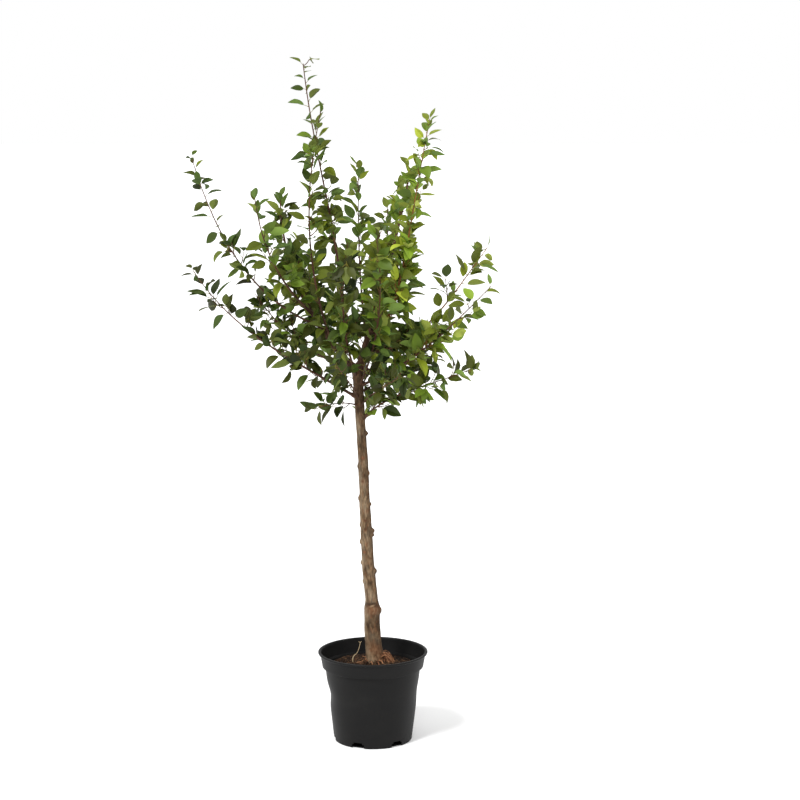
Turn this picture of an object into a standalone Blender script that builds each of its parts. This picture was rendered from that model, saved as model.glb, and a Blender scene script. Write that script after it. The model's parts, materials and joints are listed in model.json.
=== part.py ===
"""Young apple tree in a round nursery container.

Metres, +Z up. The origin is the centre of the container's flat underside. +X is to the right and -Y towards the
viewer in the front view. Angles are in degrees: azimuth 0 is +X, 90 is away from the viewer (+Y).

The trunk is a loft of level rings. Every limb is one cubic curve, set by where it leaves its parent, where its tip is
and the directions in which it leaves and arrives. A foliage mass is a round form drawn out along the leafy stretch of
its limb and held back from its neighbours.
"""

import math
from collections import namedtuple

import bmesh
import bpy
import numpy as np
from mathutils import Matrix, Vector, noise

GAP = 0.0004  # clearance between pieces that meet

# Container
POT_HEIGHT = 0.253
POT_BASE_R = 0.1097
POT_BODY_TOP_R = 0.1331  # just under the collar
COLLAR_FOOT_R = 0.1420
COLLAR_TOP_R = 0.1470
LIP_R = 0.1535
COLLAR_FOOT_Z = 0.2105
WALL = 0.0024
FLOOR = 0.0030
POT_STEPS = 54
DRAIN_COUNT = 6
DRAIN_FIRST = -112.0  # azimuth of the first drain notch
DRAIN_WIDE = 0.034
DRAIN_HIGH = 0.013
DRAIN_DEEP = 0.022

# Compost
COMPOST_TOP = 0.2222  # level patch round the trunk
COMPOST_FLAT_R = 0.070
COMPOST_EDGE_Z = 0.2060

# Trunk
TRUNK_FOOT_Z = COMPOST_TOP + GAP
TRUNK_TOP_Z = 1.060
TRUNK_FOOT_X = 0.0055
TRUNK_LEAN = 0.0465  # how far the top stands to the left of the foot
LEAN_POWER = 0.85
BENDS = ((0.790, 0.0020, 0.100), (0.395, 0.0037, 0.055))  # height, how far the stem bows out to the right there, over which height
TRUNK_SIDES = 14
TRUNK_RINGS = 17
ROOTSTOCK_R = 0.0224
GRAFT_Z = 0.385  # top of the rootstock
SCION_R = 0.0180  # just over the graft
STEM_R = 0.0133  # slimmest, under the first boughs
STEM_Z = 0.885
FORK_R = 0.0142
FLARE_R = 0.0062  # how much the roots widen the foot
FLARE_H = 0.026

# Roots that lie on the compost on the right of the foot
ROOT_LUMP_X, ROOT_LUMP_Y = 0.0425, 0.004
ROOT_LUMP_RX, ROOT_LUMP_RY, ROOT_LUMP_RZ = 0.0225, 0.0240, 0.0270

# Limbs. at: height up the trunk in metres, or how far along a parent bough (0 to 1). tip: how far right, back and up
# it is from the middle of the container's underside, in mm. leave and arrive: how steeply the limb sets out and ends,
# in degrees. swing: how far to one side of the straight way to its tip it sets out, in degrees. early: which share of
# its bend comes before the middle.
HOLD = 0.72  # share of the straight way over which the two end directions hold
Limb = namedtuple("Limb", "name parent at tip leave arrive swing early foot_d tip_d")
LIMBS = [
    Limb("bough_left", "trunk", 1.045, (-255, 100, 1520), 40, 90, 0, 0.50, 19, 3),
    Limb("bough_right", "trunk", 1.040, (105, 50, 1600), 75, 80, 0, 0.50, 21, 3),
    Limb("bough_leader", "bough_left", 0.10, (-185, 0, 1885), 92, 84, 0, 0.50, 9, 2.5),
    Limb("bough_second", "bough_left", 0.20, (-135, -80, 1760), 70, 72, -55, 0.50, 7, 2),
    Limb("bough_middle", "bough_right", 0.15, (-40, 160, 1605), 68, 75, 10, 0.50, 7, 2),
    Limb("bough_right_upright", "bough_right", 0.20, (155, -120, 1740), -10, 74, 10, 0.20, 10, 2),
    Limb("bough_right_reach", "bough_right", 0.10, (320, 140, 1375), -5, 50, 0, 0.50, 9, 2),
    Limb("bough_right_fork", "trunk", 1.005, (320, -160, 1300), 22, 45, 0, 0.50, 8, 2),
    Limb("bough_low_right", "trunk", 0.910, (270, -80, 1065), 45, 25, 0, 0.50, 6, 2),
    Limb("bough_low_right_back", "trunk", 0.985, (160, 120, 1060), 25, 20, 0, 0.50, 6, 2),
    Limb("bough_low_left", "trunk", 0.970, (-480, -100, 1335), 32, 58, 0, 0.50, 9, 2),
    Limb("bough_left_mid", "bough_left", 0.04, (-330, 140, 1245), 5, 50, 0, 0.50, 8, 2),
    Limb("bough_left_reach", "bough_left", 0.30, (-495, 60, 1630), 20, 74, 0, 0.50, 7, 2),
    Limb("bough_left_upper", "bough_left", 0.38, (-310, -140, 1535), 32, 80, 0, 0.50, 8, 2),
    Limb("bough_low_left_front", "trunk", 0.950, (-155, -120, 960), 20, -10, 0, 0.50, 4, 2),
    Limb("bough_front", "trunk", 1.000, (15, -300, 1440), 50, 55, 20, 0.50, 7, 2),
    Limb("bough_front_left", "trunk", 1.025, (-60, -260, 1425), 50, 60, -20, 0.50, 7, 2),
    Limb("bough_back", "trunk", 1.015, (-110, 300, 1335), 45, 50, 10, 0.50, 7, 2),
    Limb("bough_back_right", "trunk", 1.030, (40, 270, 1480), 45, 65, -20, 0.50, 7, 2),
    Limb("bough_back_left", "trunk", 1.030, (-215, 280, 1380), 35, 60, 15, 0.50, 7, 2),
    Limb("bough_front_low", "trunk", 0.970, (-90, -270, 1100), 30, 25, 0, 0.50, 5, 2),
    Limb("bough_back_low", "trunk", 0.990, (35, 300, 1085), 20, 20, 0, 0.50, 6, 2),
    Limb("bough_front_right", "trunk", 0.945, (80, -260, 1080), 35, 30, 0, 0.50, 5, 2),
]

# Foliage masses. start and end: the leafy stretch of the limb (1 is its tip). radius in mm.
Mass = namedtuple("Mass", "name limb start end radius")
MASSES = [
    Mass("foliage_left_low", "bough_left", 0.43, 0.70, 50),
    Mass("foliage_left_top", "bough_left", 0.705, 1.02, 40),
    Mass("foliage_right_low", "bough_right", 0.26, 0.60, 40),
    Mass("foliage_right_top", "bough_right", 0.605, 1.02, 36),
    Mass("foliage_leader_low", "bough_leader", 0.20, 0.56, 40),
    Mass("foliage_leader_top", "bough_leader", 0.565, 1.015, 37),
    Mass("foliage_second", "bough_second", 0.17, 1.02, 36),
    Mass("foliage_middle", "bough_middle", 0.18, 1.02, 40),
    Mass("foliage_right_upright_low", "bough_right_upright", 0.24, 0.64, 48),
    Mass("foliage_right_upright_top", "bough_right_upright", 0.645, 1.02, 40),
    Mass("foliage_right_inner", "bough_right_reach", 0.12, 0.37, 56),
    Mass("foliage_right_reach_low", "bough_right_reach", 0.40, 0.68, 42),
    Mass("foliage_right_reach_tip", "bough_right_reach", 0.74, 1.05, 38),
    Mass("foliage_right_fork_low", "bough_right_fork", 0.26, 0.60, 44),
    Mass("foliage_right_fork_tip", "bough_right_fork", 0.64, 1.03, 38),
    Mass("foliage_low_right", "bough_low_right", 0.14, 1.02, 40),
    Mass("foliage_low_right_back", "bough_low_right_back", 0.26, 1.05, 44),
    Mass("foliage_low_left", "bough_low_left", 0.24, 0.56, 44),
    Mass("foliage_far_left", "bough_low_left", 0.60, 1.02, 38),
    Mass("foliage_left_mid", "bough_left_mid", 0.30, 1.05, 46),
    Mass("foliage_left_reach_low", "bough_left_reach", 0.20, 0.58, 46),
    Mass("foliage_left_reach_tip", "bough_left_reach", 0.62, 1.02, 34),
    Mass("foliage_left_upper", "bough_left_upper", 0.26, 1.04, 42),
    Mass("foliage_low_left_front", "bough_low_left_front", 0.24, 1.08, 32),
    Mass("foliage_front", "bough_front", 0.20, 1.02, 44),
    Mass("foliage_front_left", "bough_front_left", 0.22, 1.02, 42),
    Mass("foliage_back", "bough_back", 0.22, 1.03, 44),
    Mass("foliage_back_right", "bough_back_right", 0.20, 1.02, 42),
    Mass("foliage_back_left", "bough_back_left", 0.24, 1.03, 44),
    Mass("foliage_front_low", "bough_front_low", 0.26, 1.06, 42),
    Mass("foliage_back_low", "bough_back_low", 0.26, 1.06, 42),
    Mass("foliage_front_right", "bough_front_right", 0.26, 1.06, 38),
]
MASS_SIDES, MASS_BANDS = 9, 8
MASS_CLEAR = 0.0030  # between a mass and its neighbours
MASS_ROUGH = 0.30  # unevenness of a mass's outline

COLOURS = {  # base colour, roughness
    "pot": ((0.016, 0.016, 0.018), 0.48),
    "compost": ((0.060, 0.030, 0.018), 0.95),
    "roots": ((0.250, 0.140, 0.070), 0.85),
    "trunk": ((0.200, 0.140, 0.095), 0.85),
    "bough": ((0.110, 0.062, 0.045), 0.75),
    "foliage": ((0.080, 0.150, 0.025), 0.60),
}


def clear_scene():
    for obj in list(bpy.data.objects):
        bpy.data.objects.remove(obj, do_unlink=True)


def collection(name):
    made = bpy.data.collections.new(name)
    bpy.context.scene.collection.children.link(made)
    return made


def material(name, kind):
    colour, roughness = COLOURS[kind]
    made = bpy.data.materials.new(name)
    made.use_nodes = True
    shader = made.node_tree.nodes["Principled BSDF"]
    shader.inputs["Base Color"].default_value = (*colour, 1)
    shader.inputs["Roughness"].default_value = roughness
    shader.inputs["Metallic"].default_value = 0.0
    return made


def add(name, mesh, where, kind=None):
    obj = bpy.data.objects.new(name, mesh)
    where.objects.link(obj)
    if kind:
        mesh.materials.append(material(name, kind))
        mesh.shade_smooth()
    else:
        obj.hide_render = True
        obj.display_type = "WIRE"
    return obj


def mesh_from(bm, name):
    bm.normal_update()
    bmesh.ops.recalc_face_normals(bm, faces=bm.faces[:])
    mesh = bpy.data.meshes.new(name)
    bm.to_mesh(mesh)
    bm.free()
    return mesh


def cut(obj, cutter):
    modifier = obj.modifiers.new("cut_" + cutter.name, "BOOLEAN")
    modifier.operation = "DIFFERENCE"
    modifier.solver = "EXACT"
    modifier.object = cutter


def mix(a, b, k):
    return a + (b - a) * k


def smooth(k):
    k = min(max(k, 0.0), 1.0)
    return k * k * (3 - 2 * k)


def direction(elevation, azimuth):
    e, a = math.radians(elevation), math.radians(azimuth)
    return Vector((math.cos(e) * math.cos(a), math.cos(e) * math.sin(a), math.sin(e)))


# Container and compost


def turned(name, profile, where, kind, steps=POT_STEPS):
    """A closed turned body. The profile starts and ends on the axis and runs down its outer side."""
    mesh = bpy.data.meshes.new(name)
    edges = [(i, i + 1) for i in range(len(profile) - 1)]
    mesh.from_pydata([(r, 0, z) for r, z in profile], edges, [])
    obj = add(name, mesh, where, kind)
    screw = obj.modifiers.new("turn", "SCREW")
    screw.axis = "Z"
    screw.steps = screw.render_steps = steps
    screw.use_merge_vertices = True
    screw.merge_threshold = 0.0001
    screw.use_smooth_shade = True
    return obj


def drain_cutter(name, margin, where):
    """Boxes that cut the drain notches into the foot of the wall and the rim of the floor."""
    bm = bmesh.new()
    for i in range(DRAIN_COUNT):
        azimuth = math.radians(DRAIN_FIRST + i * 360 / DRAIN_COUNT)
        made = bmesh.ops.create_cube(bm, size=1.0)["verts"]
        deep, high = DRAIN_DEEP + 0.030 + margin, DRAIN_HIGH + 0.010 + margin
        bmesh.ops.scale(bm, vec=(deep, DRAIN_WIDE + 2 * margin, high), verts=made)
        middle = POT_BASE_R - DRAIN_DEEP - margin + deep / 2
        bmesh.ops.translate(bm, vec=(middle, 0, DRAIN_HIGH + margin - high / 2), verts=made)
        bmesh.ops.rotate(bm, cent=(0, 0, 0), matrix=Matrix.Rotation(azimuth, 3, "Z"), verts=made)
    return add(name, mesh_from(bm, name), where)


def body_radius(z):
    """Outer radius of the container's body under the collar."""
    return mix(POT_BASE_R, POT_BODY_TOP_R, z / (COLLAR_FOOT_Z - 0.003))


def pot(where, cutters):
    inner = lambda z: body_radius(z) - WALL
    top, foot = POT_HEIGHT, COLLAR_FOOT_Z
    ledge = 0.0055  # height over which the wall steps out to the collar
    profile = [
        (0, FLOOR),
        (inner(0.006) - 0.002, FLOOR),
        (inner(0.006), 0.006),
        (inner(foot - 0.0032), foot - 0.0032),
        (COLLAR_FOOT_R - WALL - 0.0010, foot + 0.0014),
        (COLLAR_FOOT_R - WALL, foot + 0.0030),
        (COLLAR_TOP_R - WALL, top - 0.009),
        (COLLAR_TOP_R - WALL + 0.0008, top - 0.0014),
        (COLLAR_TOP_R + 0.0004, top),
        (LIP_R - 0.0016, top),
        (LIP_R, top - 0.0014),
        (LIP_R - 0.0002, top - 0.0040),
        (LIP_R - 0.0022, top - 0.0055),
        (COLLAR_TOP_R + 0.0006, top - 0.0075),
        (COLLAR_TOP_R, top - 0.0100),
        (COLLAR_FOOT_R, foot + 0.0008),
        (COLLAR_FOOT_R - 0.0014, foot - 0.0008),
        (body_radius(foot - ledge) + 0.0006, foot - ledge + 0.0004),
        (body_radius(foot - ledge - 0.003), foot - ledge - 0.003),
        (POT_BASE_R, 0.003),
        (POT_BASE_R - 0.0022, 0),
        (0, 0),
    ]
    made = turned("pot", profile, where, "pot")
    cut(made, drain_cutter("cut_drains", 0.0, cutters))
    return made


def compost(where, cutters):
    side = lambda z: body_radius(z) - WALL - GAP
    high = COLLAR_FOOT_Z - 0.0080
    profile = [
        (0, COMPOST_TOP),
        (COMPOST_FLAT_R, COMPOST_TOP),
        (mix(COMPOST_FLAT_R, side(high), 0.55), mix(COMPOST_TOP, COMPOST_EDGE_Z, 0.45)),
        (side(high) - 0.002, COMPOST_EDGE_Z),
        (side(high), high),
        (side(0.0065), 0.0065),
        (side(0.0065) - 0.0022, FLOOR + GAP),
        (0, FLOOR + GAP),
    ]
    made = turned("compost", profile, where, "compost", steps=42)
    cut(made, drain_cutter("cut_compost_drains", 0.001, cutters))
    return made


# Trunk


def trunk_centre(z):
    rise = max(z - TRUNK_FOOT_Z, 0.0) / (TRUNK_TOP_Z - TRUNK_FOOT_Z)
    bow = sum(far * math.exp(-(((z - height) / over) ** 2)) for height, far, over in BENDS)
    return Vector((TRUNK_FOOT_X - TRUNK_LEAN * rise**LEAN_POWER + bow, 0.004 * math.sin(math.pi * rise), z))


def trunk_radius(z):
    stock = ROOTSTOCK_R + FLARE_R * math.exp(-(z - TRUNK_FOOT_Z) / FLARE_H)
    stem = mix(SCION_R, STEM_R, smooth((z - GRAFT_Z) / (STEM_Z - GRAFT_Z)) ** 0.9)
    stem = mix(stem, FORK_R, smooth((z - STEM_Z) / (TRUNK_TOP_Z - STEM_Z)))
    return mix(stock, stem, smooth((z - GRAFT_Z + 0.012) / 0.030))


def trunk_mesh(name, extra=0.0):
    """Level rings on the leaning centre line, so both ends are cut level."""
    bm = bmesh.new()
    bmesh.ops.create_cone(bm, cap_ends=True, segments=TRUNK_SIDES, radius1=1, radius2=1, depth=1)
    sides = [e for e in bm.edges if abs(e.verts[0].co.z - e.verts[1].co.z) > 0.5]
    bmesh.ops.subdivide_edges(bm, edges=sides, cuts=TRUNK_RINGS, use_grid_fill=False)
    for vert in bm.verts:
        k = vert.co.z + 0.5
        z = mix(TRUNK_FOOT_Z, TRUNK_TOP_Z, k**1.35)  # closer rings at the flare
        angle = math.atan2(vert.co.y, vert.co.x)
        lobes = 1 + 0.13 * math.cos(3 * angle - 0.6) * math.exp(-(z - TRUNK_FOOT_Z) / 0.022)
        crown = 1 - 0.22 * smooth((k - 0.985) / 0.015)  # the top edge is rounded over
        out = trunk_radius(z) * lobes * crown + extra
        vert.co = trunk_centre(z) + Vector((math.cos(angle), math.sin(angle), 0)) * out
        if k < 0.001 or k > 0.999:
            vert.co.z += math.copysign(extra, k - 0.5)
    bmesh.ops.triangulate(bm, faces=bm.faces[:], quad_method="FIXED")  # the cutter's facets match the trunk's
    return mesh_from(bm, name)


def root_lump(where, trunk_cutter):
    """The knot of surface roots beside the foot, cut level where it lies on the compost."""
    bm = bmesh.new()
    bmesh.ops.create_uvsphere(bm, u_segments=12, v_segments=10, radius=1.0)
    for vert in bm.verts:
        bump = 1 + 0.16 * noise.noise(vert.co * 1.9 + Vector((4, 1, 7)))
        x, y, z = vert.co * bump
        vert.co = Vector((ROOT_LUMP_X + x * ROOT_LUMP_RX, ROOT_LUMP_Y + y * ROOT_LUMP_RY, COMPOST_TOP + z * ROOT_LUMP_RZ))
    level = Vector((0, 0, COMPOST_TOP + GAP))
    split = bmesh.ops.bisect_plane(
        bm, geom=bm.verts[:] + bm.edges[:] + bm.faces[:], plane_co=level, plane_no=(0, 0, 1), clear_inner=True
    )
    rim = [item for item in split["geom_cut"] if isinstance(item, bmesh.types.BMEdge)]
    bmesh.ops.contextual_create(bm, geom=rim)
    made = add("surface_roots", mesh_from(bm, "surface_roots"), where, "roots")
    cut(made, trunk_cutter)
    return made


# Limbs


def limb_controls():
    """The four control points of each limb's cubic curve, from its foot, its tip and its two end directions."""
    found = {}
    for limb in LIMBS:
        if limb.parent == "trunk":
            foot = trunk_centre(limb.at)
        else:
            foot = on_curve(found[limb.parent], limb.at)
        tip = Vector(limb.tip) / 1000
        way = tip - foot
        azimuth = math.degrees(math.atan2(way.y, way.x))
        out = direction(limb.leave, azimuth + limb.swing) * way.length * HOLD * limb.early
        home = direction(limb.arrive, azimuth - limb.swing) * way.length * HOLD * (1 - limb.early)
        found[limb.name] = (foot, foot + out, tip - home, tip)
    return found


def on_curve(controls, t):
    """A point on a cubic curve. Past the tip it goes straight on."""
    a, b, c, d = controls
    if t > 1:
        return d + (d - c) * 3 * (t - 1)
    s = 1 - t
    return a * s**3 + b * (3 * s * s * t) + c * (3 * s * t * t) + d * t**3


def limb_radius(limb, t):
    return mix(limb.foot_d, limb.tip_d, min(t, 1.0) ** 0.75) / 2000


def limb_object(name, controls, limb, end, extra, where, kind):
    """A tapering round tube from the limb's foot to a fraction of its length, as a mesh."""
    length = sum((on_curve(controls, end * (i + 1) / 20) - on_curve(controls, end * i / 20)).length for i in range(20))
    count = max(4, min(9, round(length / 0.022)))
    curve = bpy.data.curves.new(name, "CURVE")
    curve.dimensions = "3D"
    curve.bevel_depth = 1.0
    curve.bevel_resolution = 2
    curve.use_fill_caps = True
    spline = curve.splines.new("POLY")
    spline.points.add(count - 1)
    for i, point in enumerate(spline.points):
        t = end * i / (count - 1)
        point.co = (*on_curve(controls, t), 1)
        point.radius = limb_radius(limb, t) + extra
    guide = bpy.data.objects.new(name + "_curve", curve)
    bpy.context.scene.collection.objects.link(guide)
    graph = bpy.context.evaluated_depsgraph_get()
    mesh = bpy.data.meshes.new_from_object(guide.evaluated_get(graph))
    bpy.data.objects.remove(guide, do_unlink=True)
    bm = bmesh.new()
    bm.from_mesh(mesh)
    bmesh.ops.remove_doubles(bm, verts=bm.verts[:], dist=0.00002)
    bpy.data.meshes.remove(mesh)
    return add(name, mesh_from(bm, name), where, kind)


# Foliage


def rival_points(controls, starts):
    """Points on every mass's axis and every bough's, with what each belongs to and how thick it is."""
    names, points, pads = [], [], []
    for mass in MASSES:
        for i in range(41):
            names.append(mass.name)
            points.append(on_curve(controls[mass.limb], mix(mass.start, mass.end, i / 40)))
            pads.append(-1.0)
    for limb in LIMBS:
        for i in range(31):
            t = starts[limb.name] * i / 30
            names.append(limb.name)
            points.append(on_curve(controls[limb.name], t))
            pads.append(limb_radius(limb, t))
    return np.array(names), np.array(points), np.array(pads)


def free_reach(owner, limb, centre, out, wanted, rivals):
    """How far a mass may go out from its axis before it is nearer to a neighbour's axis."""
    names, points, pads = rivals
    other = names != owner
    points, pads = points[other], pads[other]
    steps = np.linspace(0.0, wanted, 30)
    line = np.array(centre)[None, :] + np.array(out)[None, :] * steps[:, None]
    apart = np.linalg.norm(line[:, None, :] - points[None, :, :], axis=2)
    mass = pads < 0
    free = (apart[:, mass] >= steps[:, None] + MASS_CLEAR).all(axis=1)
    free &= (apart[:, ~mass] >= 0.42 * steps[:, None] + pads[~mass] + 0.002).all(axis=1)
    free[0] = True
    blocked = np.nonzero(~free)[0]
    return wanted if len(blocked) == 0 else float(steps[blocked[0] - 1])


def foliage(mass, number, controls, rivals, where):
    """A round form drawn out along its limb, uneven, and held back from its neighbours."""
    bm = bmesh.new()
    bmesh.ops.create_uvsphere(bm, u_segments=MASS_SIDES, v_segments=MASS_BANDS, radius=1.0)
    curve = controls[mass.limb]
    seed = Vector((number * 3.7, number * 1.3, number * 2.1))
    for vert in bm.verts:
        x, y, z = vert.co
        along = (z + 1) / 2
        t = mix(mass.start, mass.end, along)
        centre = on_curve(curve, t)
        tangent = (on_curve(curve, t + 0.01) - on_curve(curve, t - 0.01)).normalized()
        side = tangent.cross(Vector((0.13, 1, 0.07))).normalized()
        other = tangent.cross(side)
        angle = math.atan2(y, x)
        out = side * math.cos(angle) + other * math.sin(angle)
        round_ = max(1 - z * z, 0.0) ** 0.42
        if round_ < 0.02:
            vert.co = centre
            continue
        uneven = 1 + MASS_ROUGH * noise.noise(out * 1.4 + seed + Vector((0, 0, along * 2.4)))
        taper = mix(1.08, 0.86, along)
        wanted = mass.radius / 1000 * round_ * uneven * taper
        vert.co = centre + out * max(free_reach(mass.name, mass.limb, centre, out, wanted, rivals), 0.003)
    return add(mass.name, mesh_from(bm, mass.name), where, "foliage")


def main():
    clear_scene()
    parts = collection("potted_apple_tree")
    cutters = collection("cutters")

    pot(parts, cutters)
    compost(parts, cutters)
    add("trunk", trunk_mesh("trunk"), parts, "trunk")
    trunk_cutter = add("cut_trunk", trunk_mesh("cut_trunk", 1.5 * GAP), cutters)
    root_lump(parts, trunk_cutter)

    controls = limb_controls()
    starts = {limb.name: min(m.start for m in MASSES if m.limb == limb.name) for limb in LIMBS}
    wide = {"trunk": trunk_cutter}
    parents = {limb.parent for limb in LIMBS}
    for limb in LIMBS:
        curve = controls[limb.name]
        length = (curve[3] - curve[0]).length
        end = starts[limb.name] - GAP / length
        made = limb_object(limb.name, curve, limb, end, 0.0, parts, "bough")
        cut(made, wide[limb.parent])
        if limb.name == "bough_right":
            cut(made, wide["bough_left"])
        if limb.name in parents:
            wide[limb.name] = limb_object("cut_" + limb.name, curve, limb, end, GAP, cutters, None)

    rivals = rival_points(controls, starts)
    for number, mass in enumerate(MASSES):
        foliage(mass, number, controls, rivals, parts)


main()
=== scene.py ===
"""Looks of the young apple tree in its nursery container: bark, shoots, leaves, compost and pot, built round the frame."""
import json
import math
import random
from collections import namedtuple

import bmesh
import bpy
import numpy as np
from mathutils import Matrix, Vector, noise

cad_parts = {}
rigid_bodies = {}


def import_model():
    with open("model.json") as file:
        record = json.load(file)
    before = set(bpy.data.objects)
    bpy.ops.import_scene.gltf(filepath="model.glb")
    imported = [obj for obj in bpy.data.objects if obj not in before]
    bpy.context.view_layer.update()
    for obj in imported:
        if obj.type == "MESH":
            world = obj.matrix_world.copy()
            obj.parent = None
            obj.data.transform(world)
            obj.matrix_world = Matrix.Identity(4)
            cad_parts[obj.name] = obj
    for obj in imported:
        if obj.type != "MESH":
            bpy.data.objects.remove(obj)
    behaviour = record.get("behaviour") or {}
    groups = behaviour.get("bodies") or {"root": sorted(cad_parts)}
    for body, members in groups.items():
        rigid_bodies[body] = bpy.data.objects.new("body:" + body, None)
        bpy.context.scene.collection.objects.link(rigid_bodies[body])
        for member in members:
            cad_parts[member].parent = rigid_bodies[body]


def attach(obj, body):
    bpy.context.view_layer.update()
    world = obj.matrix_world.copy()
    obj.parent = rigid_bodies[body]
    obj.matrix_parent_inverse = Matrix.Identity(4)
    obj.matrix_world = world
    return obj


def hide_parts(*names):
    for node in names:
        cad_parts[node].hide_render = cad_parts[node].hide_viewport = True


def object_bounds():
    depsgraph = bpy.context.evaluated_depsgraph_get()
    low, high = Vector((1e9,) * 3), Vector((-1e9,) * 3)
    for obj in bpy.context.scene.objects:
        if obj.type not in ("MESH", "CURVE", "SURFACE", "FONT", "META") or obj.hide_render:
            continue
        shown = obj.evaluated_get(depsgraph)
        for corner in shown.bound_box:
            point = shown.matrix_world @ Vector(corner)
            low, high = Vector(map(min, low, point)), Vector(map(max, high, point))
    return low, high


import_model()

CAD_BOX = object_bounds()
LEAF_BOX = (np.array(CAD_BOX[0]) - (0.015, 0.012, 0.0), np.array(CAD_BOX[1]) + (0.015, 0.012, 0.012))  # no leaf reaches past this
CLEAR_Z = 1.035  # up to here no leaf hangs in front of the stem

# Sizes repeated from the solid model, in metres
POT_HEIGHT, POT_BASE_R, POT_BODY_TOP_R = 0.253, 0.1097, 0.1331
COLLAR_FOOT_R, COLLAR_TOP_R, LIP_R, COLLAR_FOOT_Z = 0.1420, 0.1470, 0.1535, 0.2105
WALL, FLOOR, LEDGE = 0.0024, 0.0030, 0.0055
DRAIN_COUNT, DRAIN_FIRST, DRAIN_WIDE, DRAIN_HIGH, DRAIN_DEEP = 6, -112.0, 0.036, 0.0165, 0.009
COMPOST_TOP, COMPOST_FLAT_R, COMPOST_EDGE_Z = 0.2222, 0.070, 0.2060
TRUNK_FOOT_Z, TRUNK_TOP_Z, TRUNK_FOOT_X, TRUNK_LEAN, LEAN_POWER = 0.2226, 1.060, 0.0055, 0.0465, 0.85
BENDS = ((0.790, 0.0020, 0.100), (0.395, 0.0037, 0.055))
ROOTSTOCK_R, GRAFT_Z, SCION_R, STEM_R, STEM_Z, FORK_R = 0.0224, 0.385, 0.0180, 0.0133, 0.885, 0.0142
FLARE_R, FLARE_H = 0.0062, 0.026

# Limbs. at: height up the trunk in metres, or how far along a parent bough (0 to 1). tip: how far right, back and up
# it is from the middle of the container's underside, in mm. leave and arrive: how steeply the limb sets out and ends,
# in degrees. swing: how far to one side of the straight way to its tip it sets out, in degrees. early: which share of
# its bend comes before the middle.
HOLD = 0.72  # share of the straight way over which the two end directions hold
Limb = namedtuple("Limb", "name parent at tip leave arrive swing early foot_d tip_d")
LIMBS = [
    Limb("bough_left", "trunk", 1.045, (-255, 100, 1520), 40, 90, 0, 0.50, 19, 3),
    Limb("bough_right", "trunk", 1.040, (105, 50, 1600), 75, 80, 0, 0.50, 21, 3),
    Limb("bough_leader", "bough_left", 0.10, (-185, 0, 1885), 92, 84, 0, 0.50, 9, 2.5),
    Limb("bough_second", "bough_left", 0.20, (-135, -80, 1760), 70, 72, -55, 0.50, 7, 2),
    Limb("bough_middle", "bough_right", 0.15, (-40, 160, 1605), 68, 75, 10, 0.50, 7, 2),
    Limb("bough_right_upright", "bough_right", 0.20, (155, -120, 1740), -10, 74, 10, 0.20, 10, 2),
    Limb("bough_right_reach", "bough_right", 0.10, (320, 140, 1375), -5, 50, 0, 0.50, 9, 2),
    Limb("bough_right_fork", "trunk", 1.005, (320, -160, 1300), 22, 45, 0, 0.50, 8, 2),
    Limb("bough_low_right", "trunk", 0.910, (270, -80, 1065), 45, 25, 0, 0.50, 6, 2),
    Limb("bough_low_right_back", "trunk", 0.985, (160, 120, 1060), 25, 20, 0, 0.50, 6, 2),
    Limb("bough_low_left", "trunk", 0.970, (-480, -100, 1335), 32, 58, 0, 0.50, 9, 2),
    Limb("bough_left_mid", "bough_left", 0.04, (-330, 140, 1245), 5, 50, 0, 0.50, 8, 2),
    Limb("bough_left_reach", "bough_left", 0.30, (-495, 60, 1630), 20, 74, 0, 0.50, 7, 2),
    Limb("bough_left_upper", "bough_left", 0.38, (-310, -140, 1535), 32, 80, 0, 0.50, 8, 2),
    Limb("bough_low_left_front", "trunk", 0.950, (-155, -120, 960), 20, -10, 0, 0.50, 4, 2),
    Limb("bough_front", "trunk", 1.000, (15, -300, 1440), 50, 55, 20, 0.50, 7, 2),
    Limb("bough_front_left", "trunk", 1.025, (-60, -260, 1425), 50, 60, -20, 0.50, 7, 2),
    Limb("bough_back", "trunk", 1.015, (-110, 300, 1335), 45, 50, 10, 0.50, 7, 2),
    Limb("bough_back_right", "trunk", 1.030, (40, 270, 1480), 45, 65, -20, 0.50, 7, 2),
    Limb("bough_back_left", "trunk", 1.030, (-215, 280, 1380), 35, 60, 15, 0.50, 7, 2),
    Limb("bough_front_low", "trunk", 0.970, (-90, -270, 1100), 30, 25, 0, 0.50, 5, 2),
    Limb("bough_back_low", "trunk", 0.990, (35, 300, 1085), 20, 20, 0, 0.50, 6, 2),
    Limb("bough_front_right", "trunk", 0.945, (80, -260, 1080), 35, 30, 0, 0.50, 5, 2),
]

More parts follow.
